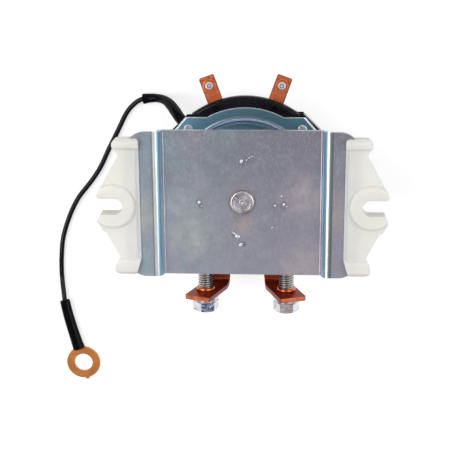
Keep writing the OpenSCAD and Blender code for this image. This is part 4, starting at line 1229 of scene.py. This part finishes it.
def threadSteel(settings):
    # painted highlight on the crests, painted shade in the grooves and painted reflection streaks across the
    # shaft
    material, tree, shader, coords = startMaterial("threadSteel")
    parts = split(tree, coords.outputs["Object"])
    aside = absolute(tree, parts["X"])
    section = tree.nodes.new("ShaderNodeCombineXYZ")
    tree.links.new(aside, section.inputs["X"])
    tree.links.new(parts["Z"], section.inputs["Z"])
    fromAxis = tree.nodes.new("ShaderNodeVectorMath")
    fromAxis.operation = "DISTANCE"
    fromAxis.inputs[1].default_value = (settings["x"], 0, settings["z"])
    tree.links.new(section.outputs["Vector"], fromAxis.inputs[0])
    depth = ranged(tree, fromAxis.outputs["Value"], 0, 1, settings["root"], settings["crest"])
    tones = ramp(tree, depth, settings["threadTones"])
    smudge = noise(tree, coords.outputs["Object"], 500, 4)
    tones = mixed(tree, ranged(tree, smudge, 0, 0.3), tones, settings["smudge"])
    reach = settings["crest"]
    across = ranged(tree, aside, 0, 1, settings["x"] - reach, settings["x"] + reach)
    tones = mixed(tree, 1.0, tones, ramp(tree, across, settings["streakLightTones"]), "MULTIPLY")
    tree.links.new(tones, shader.inputs["Base Color"])
    shader.inputs["Metallic"].default_value = settings["metal"]
    shader.inputs["Roughness"].default_value = settings["rough"]
    return material


# the flat that faces the bracket is stained, blue on the left bolt and pinkish on the right
stainedFlat = {
    "left": finish("blueStain", {
        "tone": (0.13, 0.14, 0.30), "second": (0.72, 0.76, 0.92), "patchScale": 620,
        "patchLow": 0.42, "patchHigh": 0.62, "rough": (0.15, 0.3), "metal": 0.9,
        "grainScale": 1500, "bump": 0.1,
    }),
    "right": finish("pinkStain", {
        "tone": (0.80, 0.60, 0.60), "second": (1.0, 0.90, 0.89), "patchScale": 620,
        "patchLow": 0.4, "patchHigh": 0.62, "rough": (0.15, 0.3), "metal": 0.8,
        "grainScale": 1500, "bump": 0.1,
    }),
}


def onUpperFlat(place, normal):
    return normal.z > 0.93


threadPlate = threadSteel(bolts)
for side, x in (("left", -bolts["x"]), ("right", bolts["x"])):
    head = addHead(side, bolts)
    shaft = addShaft(x, bolts)
    thread = addThread(x, bolts)
    coat(head, brightSteel)
    coatFaces(head, stainedFlat[side], onUpperFlat)
    coat(shaft, threadPlate)
    coat(thread, threadPlate)
    bolt = merge([head, shaft, thread], side + "Bolt")
    seat(bolt, "relay", "bright_steel", side + "_bolt")
    width = bolts["washerRounding"]
    coat(roundedNode(side + "_plain_washer", side + "PlainWasher", "bright_steel", width), brightSteel)
    coat(roundedNode(side + "_spring_washer", side + "SpringWasher", "spring_steel", width), springSteel)
    coatNode(side + "_signal_screw", signalPlate[side])
    coatNode(side + "_screw_washer", springSteel)
for number in range(1, 5):
    coatNode("ear_rivet_%d" % number, rivetPlate)
    coatNode("cover_screw_%d" % number, brightSteel)
print("fasteners finished")
